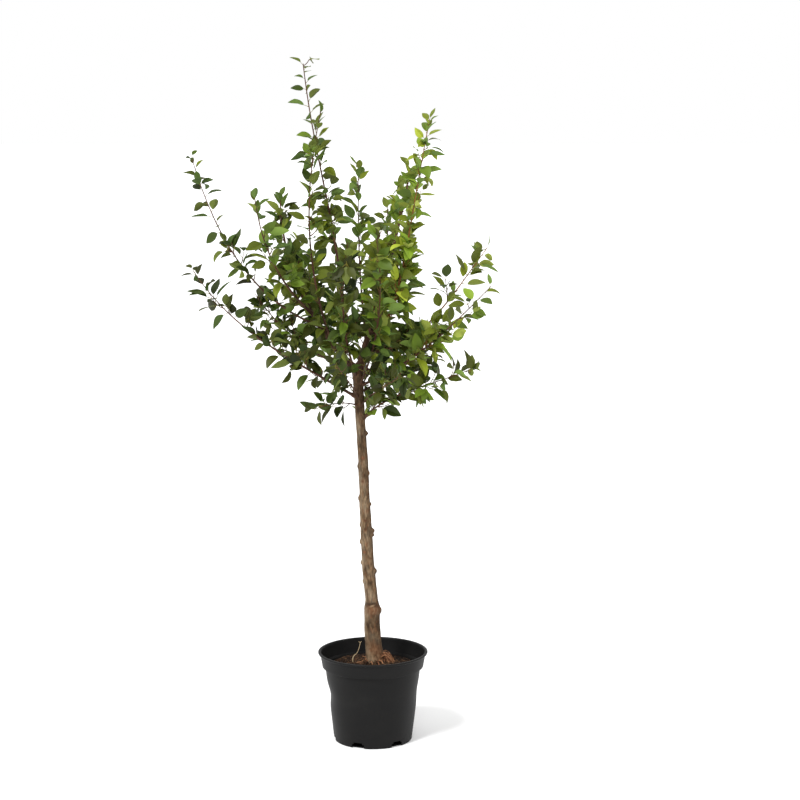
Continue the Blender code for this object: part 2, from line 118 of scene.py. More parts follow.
# What grows on each leafy stretch. gap: between leaves on the limb in mm. twigs and reach: side shoots and how long
# they are in mm. spurs: short shoots with a rosette of leaves, from `low` along the limb on. size: leaf in mm.
# tone: which green it has, from deep olive (0) to pale yellow green (5); partly the leaves' own colour, partly painted
# light: deeper on the low and left masses as painted shade, paler on the right as painted light.
Mass = namedtuple("Mass", "name limb start end gap twigs reach spurs low size tone")
MASSES = [
    Mass("foliage_left_low", "bough_left", 0.43, 0.70, 14, 9, 72, 13, 0.10, 50, 2.3),
    Mass("foliage_left_top", "bough_left", 0.705, 1.02, 14, 4, 38, 3, 0.70, 47, 2.5),
    Mass("foliage_right_low", "bough_right", 0.26, 0.60, 13, 8, 68, 12, 0.10, 51, 3.0),
    Mass("foliage_right_top", "bough_right", 0.605, 1.02, 12, 6, 44, 3, 0.60, 47, 3.4),
    Mass("foliage_leader_low", "bough_leader", 0.20, 0.56, 30, 0, 40, 9, 0.38, 46, 2.3),
    Mass("foliage_leader_top", "bough_leader", 0.565, 1.015, 17, 1, 26, 2, 0.60, 44, 1.8),
    Mass("foliage_second", "bough_second", 0.17, 1.02, 15, 3, 38, 4, 0.12, 47, 1.9),
    Mass("foliage_middle", "bough_middle", 0.18, 1.02, 13, 5, 46, 4, 0.10, 49, 2.7),
    Mass("foliage_right_upright_low", "bough_right_upright", 0.24, 0.64, 12, 11, 54, 11, 0.12, 52, 3.4),
    Mass("foliage_right_upright_top", "bough_right_upright", 0.645, 1.00, 11, 4, 42, 3, 0.64, 47, 3.5),
    Mass("foliage_right_inner", "bough_right_reach", 0.12, 0.37, 12, 12, 66, 12, 0.10, 51, 2.4),
    Mass("foliage_right_reach_low", "bough_right_reach", 0.40, 0.68, 22, 2, 48, 1, 0.40, 48, 2.4),
    Mass("foliage_right_reach_tip", "bough_right_reach", 0.74, 1.05, 12, 3, 44, 0, 0.74, 48, 3.1),
    Mass("foliage_right_fork_low", "bough_right_fork", 0.26, 0.60, 14, 5, 46, 6, 0.14, 50, 3.0),
    Mass("foliage_right_fork_tip", "bough_right_fork", 0.64, 1.03, 21, 1, 42, 1, 0.64, 47, 2.6),
    Mass("foliage_low_right", "bough_low_right", 0.14, 1.00, 16, 5, 52, 4, 0.05, 48, 1.8),
    Mass("foliage_low_right_back", "bough_low_right_back", 0.26, 1.05, 13, 6, 55, 5, 0.15, 49, 1.3),
    Mass("foliage_low_left", "bough_low_left", 0.24, 0.56, 12, 7, 50, 8, 0.14, 51, 0.7),
    Mass("foliage_far_left", "bough_low_left", 0.60, 1.02, 16, 1, 40, 1, 0.60, 48, 0.3),
    Mass("foliage_left_mid", "bough_left_mid", 0.30, 1.05, 14, 8, 56, 6, 0.15, 50, 1.7),
    Mass("foliage_left_reach_low", "bough_left_reach", 0.20, 0.58, 15, 3, 48, 4, 0.28, 49, 1.2),
    Mass("foliage_left_reach_tip", "bough_left_reach", 0.62, 1.02, 16, 0, 30, 1, 0.62, 45, 0.9),
    Mass("foliage_left_upper", "bough_left_upper", 0.26, 1.04, 18, 4, 42, 3, 0.15, 49, 2.1),
    Mass("foliage_low_left_front", "bough_low_left_front", 0.30, 1.08, 17, 2, 30, 0, 0.30, 58, 0.5),
    Mass("foliage_front", "bough_front", 0.20, 1.02, 15, 7, 60, 7, 0.10, 50, 2.1),
    Mass("foliage_front_left", "bough_front_left", 0.22, 1.02, 14, 6, 58, 6, 0.10, 50, 1.5),
    Mass("foliage_back", "bough_back", 0.22, 1.03, 14, 7, 62, 6, 0.10, 50, 1.9),
    Mass("foliage_back_right", "bough_back_right", 0.20, 1.02, 14, 7, 58, 6, 0.10, 50, 2.7),
    Mass("foliage_back_left", "bough_back_left", 0.24, 1.03, 14, 7, 60, 5, 0.10, 50, 1.9),
    Mass("foliage_front_low", "bough_front_low", 0.36, 1.06, 18, 3, 50, 2, 0.30, 48, 0.4),
    Mass("foliage_back_low", "bough_back_low", 0.26, 1.06, 15, 6, 54, 4, 0.15, 49, 0.8),
    Mass("foliage_front_right", "bough_front_right", 0.26, 1.06, 16, 4, 48, 3, 0.15, 48, 0.7),
]

# Open places in the crown, where the sky shows through it from the front: (right, up, half width, half height) in mm
VIEW = np.array((0.076, -6.0, 1.917))
SKY = [
    (-340, 1440, 26, 38), (-290, 1550, 26, 36), (-213, 1545, 16, 32), (-92, 1610, 15, 36), (0, 1530, 28, 60), (-75, 1435, 20, 22),
    (-295, 1320, 22, 28), (-335, 1270, 24, 24), (-120, 1365, 16, 28), (155, 1220, 26, 28), (-352, 1108, 26, 26),
    (-115, 1785, 22, 42), (-500, 1530, 22, 22), (-62, 1082, 12, 14), (290, 1265, 20, 16), (-400, 1345, 26, 20),
    (35, 1000, 14, 14), (-118, 1000, 12, 18), (0, 915, 16, 14), (150, 1350, 24, 32), (-388, 1172, 28, 18), (135, 942, 30, 14), (310, 1060, 18, 30), (-288, 1102, 20, 20), (140, 1768, 34, 18),
]

# Leafy shoots that stand out in places of their own. tip: as for a limb; size and tone: as for a mass
Tuft = namedtuple("Tuft", "mass at tip gap size tone")
TUFTS = [
    Tuft("foliage_right_reach_low", 0.64, (202, 85, 1292), 16, 58, 1.9),
    Tuft("foliage_right_reach_low", 0.44, (206, 20, 1180), 12, 54, 2.6),
    Tuft("foliage_right_fork_low", 0.40, (165, -70, 1190), 11, 55, 3.0),
    Tuft("foliage_right_fork_low", 0.50, (215, -90, 1165), 12, 52, 4.0),
    Tuft("foliage_front_left", 0.25, (-72, -90, 1085), 13, 48, 0.6),
    Tuft("foliage_low_left", 0.38, (-215, -60, 1065), 12, 50, 0.0),
    Tuft("foliage_low_left", 0.30, (-180, -50, 1085), 10, 50, 0.3),
    Tuft("foliage_low_left_front", 0.22, (-100, -60, 957), 13, 50, 0.3),
    Tuft("foliage_front_low", 0.10, (-58, -95, 1100), 11, 50, 0.6),
    Tuft("foliage_front", 0.10, (-22, -105, 1090), 11, 50, 0.9),
    Tuft("foliage_low_right_back", 0.10, (0, 35, 1012), 12, 50, 0.9),
    Tuft("foliage_low_left", 0.22, (-168, -45, 1052), 12, 50, 0.4),
    Tuft("foliage_low_left", 0.12, (-84, -20, 998), 17, 44, 0.2),
    Tuft("foliage_left_mid", 0.50, (-230, 60, 1215), 11, 50, 2.0),
    Tuft("foliage_left_mid", 0.72, (-320, 100, 1235), 15, 46, 2.7),
    Tuft("foliage_low_right", 0.00, (10, -40, 970), 10, 50, 2.8),
    Tuft("foliage_low_right", 0.00, (6, 25, 975), 9, 52, 2.4),
    Tuft("foliage_low_right", 0.70, (185, -60, 1010), 13, 46, 2.2),
    Tuft("foliage_front_left", 0.40, (-62, -110, 1235), 11, 50, 1.5),
    Tuft("foliage_low_right", 0.06, (32, -35, 1020), 11, 52, 3.0),
    Tuft("foliage_low_right", 0.46, (125, -55, 1008), 12, 50, 2.9),
    Tuft("foliage_low_right", 0.62, (165, -60, 1008), 10, 52, 2.6),
    Tuft("foliage_left_low", 0.45, (-225, 30, 1245), 11, 52, 2.2),
    Tuft("foliage_left_low", 0.55, (-215, 40, 1310), 12, 52, 2.4),
    Tuft("foliage_left_reach_low", 0.50, (-385, 20, 1400), 24, 50, 0.8),
    Tuft("foliage_left_upper", 0.72, (-285, -125, 1445), 12, 50, 2.6),
    Tuft("foliage_far_left", 0.78, (-440, -90, 1275), 18, 50, 0.3),
    Tuft("foliage_leader_low", 0.44, (-120, 20, 1440), 13, 50, 2.3),
    Tuft("foliage_leader_low", 0.58, (-112, 10, 1555), 18, 50, 2.0),
    Tuft("foliage_right_upright_low", 0.58, (92, -35, 1445), 10, 52, 3.6),
    Tuft("foliage_right_upright_low", 0.40, (92, -60, 1300), 11, 54, 2.9),
    Tuft("foliage_right_low", 0.46, (-15, 10, 1385), 12, 52, 2.6),
]

# Knobs, bumps and scars on the stem: (height, azimuth, how far it stands out in mm, its spread in mm, tan, dark)
KNOTS = [
    (0.989, 188, 4.0, 9.0, 0.0, 0.5), (0.917, -8, 3.0, 4.5, 0.0, 0.6), (0.874, -14, 7.0, 6.2, 0.2, 1.0),
    (0.851, 190, 1.6, 8.0, 0.0, 0.0), (0.806, -88, 1.0, 6.0, 0.9, 0.2), (0.781, 195, 3.2, 7.0, 0.0, 0.0),
    (0.761, -6, 3.2, 6.5, 0.1, 0.5), (0.740, -106, 1.0, 5.0, 0.5, 0.9), (0.702, -51, 1.2, 4.5, 0.3, 0.9),
    (0.690, 196, 4.8, 8.0, 0.2, 0.0), (0.673, -5, 4.2, 5.0, 0.2, 0.6), (0.655, -70, 1.2, 6.0, 0.6, 0.3),
    (0.629, -93, 1.2, 4.5, 0.4, 1.0), (0.615, 190, 2.4, 6.0, 0.1, 0.0), (0.598, -8, 8.5, 6.4, 0.1, 1.0),
    (0.586, -14, 7.0, 5.0, 0.2, 1.0), (0.566, 192, 4.8, 7.0, 0.1, 0.0), (0.539, -120, 1.0, 4.5, 0.9, 0.3),
    (0.521, -61, 1.2, 4.5, 0.4, 1.0), (0.507, 188, 4.2, 6.0, 0.2, 0.0), (0.483, -6, 6.0, 7.0, 0.1, 0.9),
    (0.453, 190, 3.0, 5.5, 0.1, 0.0), (0.433, -48, 1.2, 5.0, 0.4, 0.7), (0.370, -4, 4.6, 9.0, 0.1, 0.6),
    (0.318, -70, 1.4, 7.0, 0.4, 0.5), (0.300, -30, 1.6, 12.0, 0.2, 0.5), (0.262, -110, 1.2, 7.0, 0.8, 0.2),
    (0.905, 95, 3.0, 6.0, 0.3, 0.3), (0.822, 70, 2.6, 6.0, 0.4, 0.2), (0.735, 110, 3.4, 7.0, 0.2, 0.3),
    (0.655, 75, 2.8, 6.0, 0.5, 0.2), (0.574, 100, 3.6, 6.0, 0.2, 0.4), (0.492, 85, 2.8, 6.0, 0.4, 0.1), (0.418, 105, 3.0, 7.0, 0.2, 0.3),
]


def srgb(r, g, b):
    return tuple((c / 255 / 12.92) if c / 255 <= 0.04045 else ((c / 255 + 0.055) / 1.055) ** 2.4 for c in (r, g, b))


# Greens from deep to pale, each as an olive and as a purer green: (upper side, under side) in sRGB
TONES = [
    ((42, 46, 12), (64, 70, 34)), ((36, 46, 13), (56, 70, 36)),
    ((58, 64, 16), (84, 93, 44)), ((50, 64, 18), (74, 93, 47)),
    ((77, 86, 22), (102, 114, 52)), ((68, 86, 24), (92, 114, 56)),
    ((98, 109, 27), (120, 132, 58)), ((88, 109, 30), (108, 132, 62)),
    ((126, 138, 37), (144, 156, 70)), ((114, 138, 40), (128, 154, 72)),
    ((156, 168, 56), (168, 178, 88)), ((145, 168, 57), (152, 176, 88)),
]


def mix(a, b, k):
    return a + (b - a) * k


def smooth(k):
    k = min(max(k, 0.0), 1.0)
    return k * k * (3 - 2 * k)


def unit(v):
    v = np.asarray(v, float)
    n = np.linalg.norm(v)
    return v / n if n > 1e-12 else np.array((0.0, 0.0, 1.0))


def direction(elevation, azimuth):
    e, a = math.radians(elevation), math.radians(azimuth)
    return np.array((math.cos(e) * math.cos(a), math.cos(e) * math.sin(a), math.sin(e)))


def turned_about(v, axis, angle):
    axis = unit(axis)
    return v * math.cos(angle) + np.cross(axis, v) * math.sin(angle) + axis * np.dot(axis, v) * (1 - math.cos(angle))


# Materials


def new_material(name):
    made = bpy.data.materials.new(name)
    made.use_nodes = True
    return made, made.node_tree, made.node_tree.nodes["Principled BSDF"]


def plain(name, colour, roughness, specular=0.5):
    made, tree, shader = new_material(name)
    shader.inputs["Base Color"].default_value = (*colour, 1)
    shader.inputs["Roughness"].default_value = roughness
    shader.inputs["Specular IOR Level"].default_value = specular
    return made


def patterned(name, stops, scale, stretch=(1, 1, 1), roughness=(0.6, 0.9), bump=0.3, bump_scale=None, distance=0.001, specular=0.4):
    """Noise through a colour ramp, rougher where pale, with a bump from finer noise."""
    made, tree, shader = new_material(name)
    nodes, links = tree.nodes, tree.links
    coords = nodes.new("ShaderNodeTexCoord")
    mapping = nodes.new("ShaderNodeMapping")
    mapping.inputs["Scale"].default_value = stretch
    links.new(coords.outputs["Object"], mapping.inputs["Vector"])
    wide = nodes.new("ShaderNodeTexNoise")
    wide.inputs["Scale"].default_value = scale
    wide.inputs["Detail"].default_value = 6
    wide.inputs["Roughness"].default_value = 0.62
    links.new(mapping.outputs["Vector"], wide.inputs["Vector"])
    ramp = nodes.new("ShaderNodeValToRGB")
    elements = ramp.color_ramp.elements
    while len(elements) > 1:
        elements.remove(elements[-1])
    elements[0].position, elements[0].color = stops[0][0], (*stops[0][1], 1)
    for place, colour in stops[1:]:
        elements.new(place).color = (*colour, 1)
    links.new(wide.outputs["Fac"], ramp.inputs["Fac"])
    links.new(ramp.outputs["Color"], shader.inputs["Base Color"])
    rough = nodes.new("ShaderNodeMapRange")
    rough.inputs["To Min"].default_value, rough.inputs["To Max"].default_value = roughness
    links.new(wide.outputs["Fac"], rough.inputs["Value"])
    links.new(rough.outputs["Result"], shader.inputs["Roughness"])
    fine = nodes.new("ShaderNodeTexNoise")
    fine.inputs["Scale"].default_value = bump_scale or scale * 4
    fine.inputs["Detail"].default_value = 5
    links.new(mapping.outputs["Vector"], fine.inputs["Vector"])
    relief = nodes.new("ShaderNodeBump")
    relief.inputs["Strength"].default_value = bump
    relief.inputs["Distance"].default_value = distance
    links.new(fine.outputs["Fac"], relief.inputs["Height"])
    links.new(relief.outputs["Normal"], shader.inputs["Normal"])
    shader.inputs["Specular IOR Level"].default_value = specular
    return made


def layered(made, layers):
    """Lay plain colours over a patterned material's ramp, each where the mesh's own measure of that name says."""
    tree = made.node_tree
    nodes, links = tree.nodes, tree.links
    shader = nodes["Principled BSDF"]
    colour = next(n for n in nodes if n.type == "VALTORGB").outputs["Color"]
    for measure, over in layers:
        where = nodes.new("ShaderNodeAttribute")
        where.attribute_name = measure
        blend = nodes.new("ShaderNodeMix")
        blend.data_type = "RGBA"
        coloured = {s.name: s for s in blend.inputs if s.type == "RGBA"}
        coloured["B"].default_value = (*over, 1)
        links.new(colour, coloured["A"])
        links.new(where.outputs["Fac"], next(s for s in blend.inputs if s.type == "VALUE"))
        colour = next(s for s in blend.outputs if s.type == "RGBA")
    links.new(colour, shader.inputs["Base Color"])
    return made


# Mesh building


class Build:
    """Points and triangles of many small shapes, joined as one mesh."""

    def __init__(self):
        self.points, self.faces, self.slots, self.count, self.materials = [], [], [], 0, []

    def slot(self, material):
        if material not in self.materials:
            self.materials.append(material)
        return self.materials.index(material)

    def add(self, points, faces, slot=0):
        faces = np.asarray(faces, np.int64)
        self.points.append(np.asarray(points, float))
        self.faces.append(faces + self.count)
        self.slots.append(np.full(len(faces), slot) if np.isscalar(slot) else np.asarray(slot))
        self.count += len(points)

    def finish(self, name, materials=None, sharp=50.0):
        points, faces, slots = np.concatenate(self.points), np.concatenate(self.faces), np.concatenate(self.slots)
        mesh = bpy.data.meshes.new(name)
        mesh.vertices.add(len(points))
        mesh.vertices.foreach_set("co", points.astype(np.float32).ravel())
        mesh.loops.add(len(faces) * 3)
        mesh.loops.foreach_set("vertex_index", faces.astype(np.int32).ravel())
        mesh.polygons.add(len(faces))
        mesh.polygons.foreach_set("loop_start", np.arange(0, len(faces) * 3, 3, dtype=np.int32))
        for made in materials or self.materials:
            mesh.materials.append(made)
        mesh.polygons.foreach_set("material_index", slots.astype(np.int32))
        mesh.update(calc_edges=True)
        mesh.validate()
        mesh.shade_smooth()
        mesh.set_sharp_from_angle(angle=math.radians(sharp))
        obj = bpy.data.objects.new(name, mesh)
        bpy.context.scene.collection.objects.link(obj)
        return obj


def tube(points, radii, sides=8, bump=None):
    """A round tube along points, with a radius at each, closed at both ends."""
    points, radii = np.asarray(points, float), np.asarray(radii, float)
    tangents = np.gradient(points, axis=0)
    tangents /= np.linalg.norm(tangents, axis=1)[:, None] + 1e-12
    first = np.cross(tangents[0], (0.13, 1.0, 0.07))
    normals = [unit(first)]
    for i in range(1, len(points)):
        n = normals[-1] - tangents[i] * np.dot(normals[-1], tangents[i])
        normals.append(unit(n))
    normals = np.array(normals)
    others = np.cross(tangents, normals)
    angles = np.arange(sides) * 2 * math.pi / sides
    rings = points[:, None, :] + radii[:, None, None] * (
        np.cos(angles)[None, :, None] * normals[:, None, :] + np.sin(angles)[None, :, None] * others[:, None, :]
    )
    if bump is not None:
        rings += bump * (rings - points[:, None, :])
    n = len(points)
    verts = np.concatenate([rings.reshape(-1, 3), points[:1], points[-1:]])
    i, j = np.meshgrid(np.arange(n - 1), np.arange(sides), indexing="ij")
    a, b = i * sides + j, i * sides + (j + 1) % sides
    c, d = a + sides, b + sides
    faces = np.concatenate([np.stack([a, b, d], -1).reshape(-1, 3), np.stack([a, d, c], -1).reshape(-1, 3)])
    j = np.arange(sides)
    start = np.stack([np.full(sides, n * sides), (j + 1) % sides, j], -1)
    last = (n - 1) * sides
    end = np.stack([np.full(sides, n * sides + 1), last + j, last + (j + 1) % sides], -1)
    return verts, np.concatenate([faces, start, end])


# Limbs


def trunk_centre(z):
    rise = max(z - TRUNK_FOOT_Z, 0.0) / (TRUNK_TOP_Z - TRUNK_FOOT_Z)
    bow = sum(far * math.exp(-(((z - height) / over) ** 2)) for height, far, over in BENDS)
    return np.array((TRUNK_FOOT_X - TRUNK_LEAN * rise**LEAN_POWER + bow, 0.004 * math.sin(math.pi * rise), z))


def trunk_radius(z):
    stock = ROOTSTOCK_R + FLARE_R * math.exp(-(z - TRUNK_FOOT_Z) / FLARE_H)
    stem = mix(SCION_R, STEM_R, smooth((z - GRAFT_Z) / (STEM_Z - GRAFT_Z)) ** 0.9)
    stem = mix(stem, FORK_R, smooth((z - STEM_Z) / (TRUNK_TOP_Z - STEM_Z)))
    return mix(stock, stem, smooth((z - GRAFT_Z + 0.012) / 0.030))


def on_curve(controls, t):
    a, b, c, d = controls
    if t > 1:
        return d + (d - c) * 3 * (t - 1)
    s = 1 - t
    return a * s**3 + b * (3 * s * s * t) + c * (3 * s * t * t) + d * t**3


def limb_controls():
    """The four control points of each limb's cubic curve, from its foot, its tip and its two end directions."""
    found = {}
    for limb in LIMBS:
        foot = trunk_centre(limb.at) if limb.parent == "trunk" else on_curve(found[limb.parent], limb.at)
        tip = np.array(limb.tip) / 1000
        way = tip - foot
        far, azimuth = np.linalg.norm(way), math.degrees(math.atan2(way[1], way[0]))
        out = direction(limb.leave, azimuth + limb.swing) * far * HOLD * limb.early
        home = direction(limb.arrive, azimuth - limb.swing) * far * HOLD * (1 - limb.early)
        found[limb.name] = (foot, foot + out, tip - home, tip)
    return found


def limb_radius(limb, t):
    return mix(limb.foot_d, limb.tip_d, min(max(t, 0.0), 1.0) ** 0.75) / 2000


CONTROLS = limb_controls()
LIMB = {limb.name: limb for limb in LIMBS}


def near_angle(a, b):
    return (a - b + math.pi) % (2 * math.pi) - math.pi


def trunk():
    """The stem with its flare, graft, knobs, scars and bark relief."""
    sides, rings = 84, 400
    build = Build()
    points, tan, dark, pale, grey = [], [], [], [], []
    for i in range(rings):
        z = mix(TRUNK_FOOT_Z, TRUNK_TOP_Z, i / (rings - 1))
        centre, base = trunk_centre(z), trunk_radius(z)
        crown = 1 - 0.24 * smooth((z - TRUNK_TOP_Z + 0.012) / 0.012)
        near_knots = [k for k in KNOTS if abs(z - k[0]) * 1000 < 3.2 * k[3]]
        slant0 = GRAFT_Z - 0.001
        for j in range(sides):
            a = 2 * math.pi * j / sides
            ca, sa = math.cos(a), math.sin(a)
            lobes = 1 + 0.13 * math.cos(3 * a - 0.6) * math.exp(-(z - TRUNK_FOOT_Z) / 0.022)
            r = base * lobes * crown
            long_ = noise.noise(Vector((ca * 1.3, sa * 1.3, z * 19)))
            r += 0.0011 * long_
            r += 0.0006 * noise.noise(Vector((ca * 3.5, sa * 3.5, z * 52 + 9)))
            fine = noise.noise(Vector((ca * 8, sa * 8, z * 120 + 3)))
            r += 0.00030 * fine
            grain = noise.noise(Vector((ca * 9, sa * 9, z * 24 + 15)))
            r += 0.00022 * grain
            tanned = darkened = paled = 0.0
            for kz, ka, high, wide, k_tan, k_dark in near_knots:
                dz = (z - kz) * 1000
                da = near_angle(a, math.radians(ka)) * base * 1000
                near = (dz / wide) ** 2 + (da / wide) ** 2
                bump = math.exp(-near)
                if high > 2:
                    r += high / 1000 * (math.exp(-(near**1.25)) - 0.16 * math.exp(-near * 9))
                else:
                    r += high / 1000 * (math.exp(-near) - 1.3 * math.exp(-near * 5))
                tanned = max(tanned, k_tan * min(1.0, 1.25 * math.exp(-near * 1.3)) * (0.75 + 0.5 * fine))
                darkened = max(darkened, k_dark * math.exp(-near * 1.0))
            # Graft: a dark reddish seam over the swollen stock, with a pale scratch, and painted shade for a hollow in
            # front
            face = math.exp(-((near_angle(a, math.radians(-84)) / 1.25) ** 2))
            seam = GRAFT_Z + 0.0035 + 0.0018 * noise.noise(Vector((ca * 2, sa * 2, 7)))
            r -= 0.0006 * face * math.exp(-(((z - seam) / 0.0050) ** 2))
            scratch = math.exp(-((near_angle(a, math.radians(-88)) / 0.36) ** 2)) * math.exp(-(((z - GRAFT_Z - 0.0012 - 0.005 * ca) / 0.0017) ** 2))
            paled = max(paled, 0.60 * scratch)
            band = math.exp(-(((z - seam) / 0.0074) ** 4)) * (0.40 + 0.55 * face) * (1.05 + 0.6 * fine)
            # Painted shade: a dark patch in front, below the seam, stands for the shade in a hollow
            hollow = math.exp(-((near_angle(a, math.radians(-102)) / 0.24) ** 2) - ((z - 0.3795) / 0.0042) ** 2)
            hollow = max(hollow, 0.7 * math.exp(-((near_angle(a, math.radians(-58)) / 0.30) ** 2) - ((z - 0.374) / 0.0055) ** 2))
            darkened = max(darkened, max(band, 0.95 * hollow) * (1 - 0.85 * scratch))
            tanned = max(tanned, 0.55 * face * math.exp(-(((z - 0.373) / 0.012) ** 4)) * (0.8 + 0.8 * fine))
            # Painted shade on the stock's right front, below the graft
            shaded = math.exp(-((near_angle(a, math.radians(-44)) / 0.60) ** 2)) * math.exp(-(((z - 0.334) / 0.034) ** 4))
            darkened = max(darkened, 0.80 * shaded)
            # Towards the fork the bark is younger and darker; the foot is orange brown at the front; the stock below
            # the graft has painted shade, less on its left, where the light falls
            left_side = math.exp(-((near_angle(a, math.radians(196)) / 0.75) ** 2))
            darkened = max(darkened, 0.30 * smooth((z - 0.886 - 0.030 * left_side) / 0.012) + 0.24 * smooth((z - 0.915 - 0.030 * left_side) / 0.05))
            front = math.exp(-((near_angle(a, math.radians(-80)) / 0.95) ** 2))
            tanned = max(tanned, 0.85 * front * smooth((0.300 - z) / 0.05) * (0.62 + 0.9 * long_ + 0.5 * fine))
            # Painted shade on the stock below the graft, held back on the lit left side
            darkened = max(darkened, (0.30 + 0.45 * long_) * smooth((0.405 - z) / 0.03) * (1 - 0.8 * left_side) * mix(0.45, 1.0, smooth((z - 0.25) / 0.06)))
            paled = max(paled, 0.30 * front * smooth((0.290 - z) / 0.05) * smooth((fine + 0.2) / 0.5))
            # Painted shade: the side away from the light is darker
            painted_shade_side = math.exp(-((near_angle(a, math.radians(-12)) / 0.85) ** 2))
            darkened = max(darkened, painted_shade_side * (0.46 + 0.5 * long_) * smooth((z - 0.30) / 0.03))
            # Blotches all the way up: dark ones, held back on the lit left side as painted light, and small reddish
            # ones where the bark is rubbed
            blotch = noise.noise(Vector((ca * 1.9, sa * 1.9, z * 31 + 11)))
            darkened = max(darkened, 0.50 * smooth((blotch - 0.10) / 0.30) * (1 - 0.6 * left_side))
            speck = noise.noise(Vector((ca * 5.5, sa * 5.5, z * 84 + 41)))
            darkened = max(darkened, 0.50 * smooth((speck - 0.14) / 0.26))
            darkened = max(darkened, 0.24 * smooth((-grain - 0.12) / 0.26))
            fleck = noise.noise(Vector((ca * 3.6, sa * 3.6, z * 66 + 23)))
            tanned = max(tanned, 0.34 * smooth((fleck - 0.26) / 0.24))
            paled = max(paled, 0.30 * smooth((-speck - 0.22) / 0.24) * (1 - darkened))
            # A pale streak down the front right over the graft
            streak = math.exp(-((near_angle(a, math.radians(-62) + 0.15 * math.sin(z * 60)) / 0.16) ** 2)) * smooth((z - 0.40) / 0.02) * smooth((0.56 - z) / 0.03)
            paled = max(paled, 0.30 * streak * (0.7 + fine))
            points.append(centre + np.array((ca, sa, 0)) * r)
            tan.append(min(1.0, max(0.0, tanned)))
            dark.append(min(1.0, max(0.0, darkened)))
            pale.append(min(1.0, max(0.0, paled)))
            # Grey: random pale patches, plus a painted highlight down the left side, where the light falls
            side = math.exp(-((near_angle(a, math.radians(192)) / 0.85) ** 2))
            patch = noise.noise(Vector((ca * 1.5, sa * 1.5, z * 26 + 4)))
            grey.append(min(1.0, max(0.0, (0.66 * side + 0.75 * patch) * mix(0.5, 1.0, smooth((0.95 - z) / 0.04)) * mix(0.75, 1.0, smooth((z - 0.37) / 0.05)))))
    n = len(points)
    points += [trunk_centre(TRUNK_FOOT_Z), trunk_centre(TRUNK_TOP_Z)]
    i, j = np.meshgrid(np.arange(rings - 1), np.arange(sides), indexing="ij")
    a, b = i * sides + j, i * sides + (j + 1) % sides
    faces = np.concatenate([np.stack([a, b, b + sides], -1).reshape(-1, 3), np.stack([a, b + sides, a + sides], -1).reshape(-1, 3)])
    j = np.arange(sides)
    low = np.stack([np.full(sides, n), (j + 1) % sides, j], -1)
    last = (rings - 1) * sides
    high = np.stack([np.full(sides, n + 1), last + j, last + (j + 1) % sides], -1)
    build.add(points, np.concatenate([faces, low, high]))
    # The dark layer carries the bark's own dark marks and painted shade; the grey layer carries grey patches and a
    # painted highlight on the left
    bark = layered(
        patterned(
            "bark",
            [(0.28, srgb(45, 33, 21)), (0.42, srgb(69, 53, 36)), (0.54, srgb(94, 74, 53)), (0.66, srgb(113, 92, 69)), (0.82, srgb(85, 69, 47))],
            75, (1, 1, 0.5), (0.70, 0.95), 0.8, 280, 0.0018, 0.12,
        ),
        [("grey", srgb(131, 117, 97)), ("dark", srgb(50, 35, 24)), ("tan", srgb(110, 70, 46)), ("pale", srgb(158, 132, 102))],
    )
    obj = build.finish("stem_bark", [bark], 60)
    for name, values in (("tan", tan), ("dark", dark), ("pale", pale), ("grey", grey)):
        layer = obj.data.attributes.new(name, "FLOAT", "POINT")
        layer.data.foreach_set("value", np.array(values + [0, 0], np.float32))
    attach(obj, "root")
    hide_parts("trunk")


def limb_run(name, start, end, sides, step=0.004, rough=0.05, collar=True):
    limb, controls = LIMB[name], CONTROLS[name]
    length = sum(np.linalg.norm(on_curve(controls, mix(start, end, (i + 1) / 20)) - on_curve(controls, mix(start, end, i / 20))) for i in range(20))
    count = max(5, int(length / step))
    ts = np.linspace(start, end, count)
    points = np.array([on_curve(controls, t) for t in ts])
    radii = np.array([limb_radius(limb, t) for t in ts])
    wobble = np.array([noise.noise(Vector(p * 60)) for p in points])
    radii *= 1 + rough * wobble
    run = np.concatenate([[0], np.cumsum(np.linalg.norm(np.diff(points, axis=0), axis=1))])
    # Nodes: slight swellings with a bend at each, where leaves and spurs stood
    radii *= 1 + 0.10 * np.exp(-(((run / 0.031 + 0.2 * wobble) % 1.0 - 0.5) / 0.13) ** 2)
    if collar and start == 0:
        foot = 0.5 * limb.foot_d / 1000 + 0.012
        radii *= 1 + 0.40 * np.exp(-(((run - foot) / 0.010) ** 2))
        radii[run < foot] = radii[np.searchsorted(run, foot)] if foot < run[-1] else radii[-1]
    bump = np.array([[0.07 * noise.noise(Vector(p * 90 + Vector((math.cos(a), math.sin(a), 0)) * 1.5)) for a in np.arange(sides) * 2 * math.pi / sides] for p in map(Vector, points)])
    return tube(points, radii, sides, bump[:, :, None])


# Leaves


ROWS = (0.035, 0.13, 0.27, 0.43, 0.60, 0.77, 0.91)  # how far along the blade each row of points lies
ACROSS = (-1.0, -0.52, 0.0, 0.52, 1.0)


def leaf_faces():
    """Triangles of a leaf: rows of five upper points and three under ones, which share the rim; then the foot and the tip."""
    per, count = 8, len(ROWS)
    foot, tip = count * per, count * per + 1
    upper = lambda row: [row * per + k for k in range(5)]
    under = lambda row: [row * per, row * per + 5, row * per + 6, row * per + 7, row * per + 4]
    faces, sides = [], []
    for side, rows in ((0, upper), (1, under)):
        for row in range(count - 1):
            a, b = rows(row), rows(row + 1)
            for k in range(4):
                quad = [(a[k], a[k + 1], b[k + 1]), (a[k], b[k + 1], b[k])]
                faces += [q if side == 0 else q[::-1] for q in quad]
                sides += [side] * 2
        for k in range(4):
            a, b = rows(0), rows(count - 1)
            ends = [(foot, a[k + 1], a[k]), (tip, b[k], b[k + 1])]
            faces += [q if side == 0 else q[::-1] for q in ends]
            sides += [side] * 2
    return np.array(faces), np.array(sides)


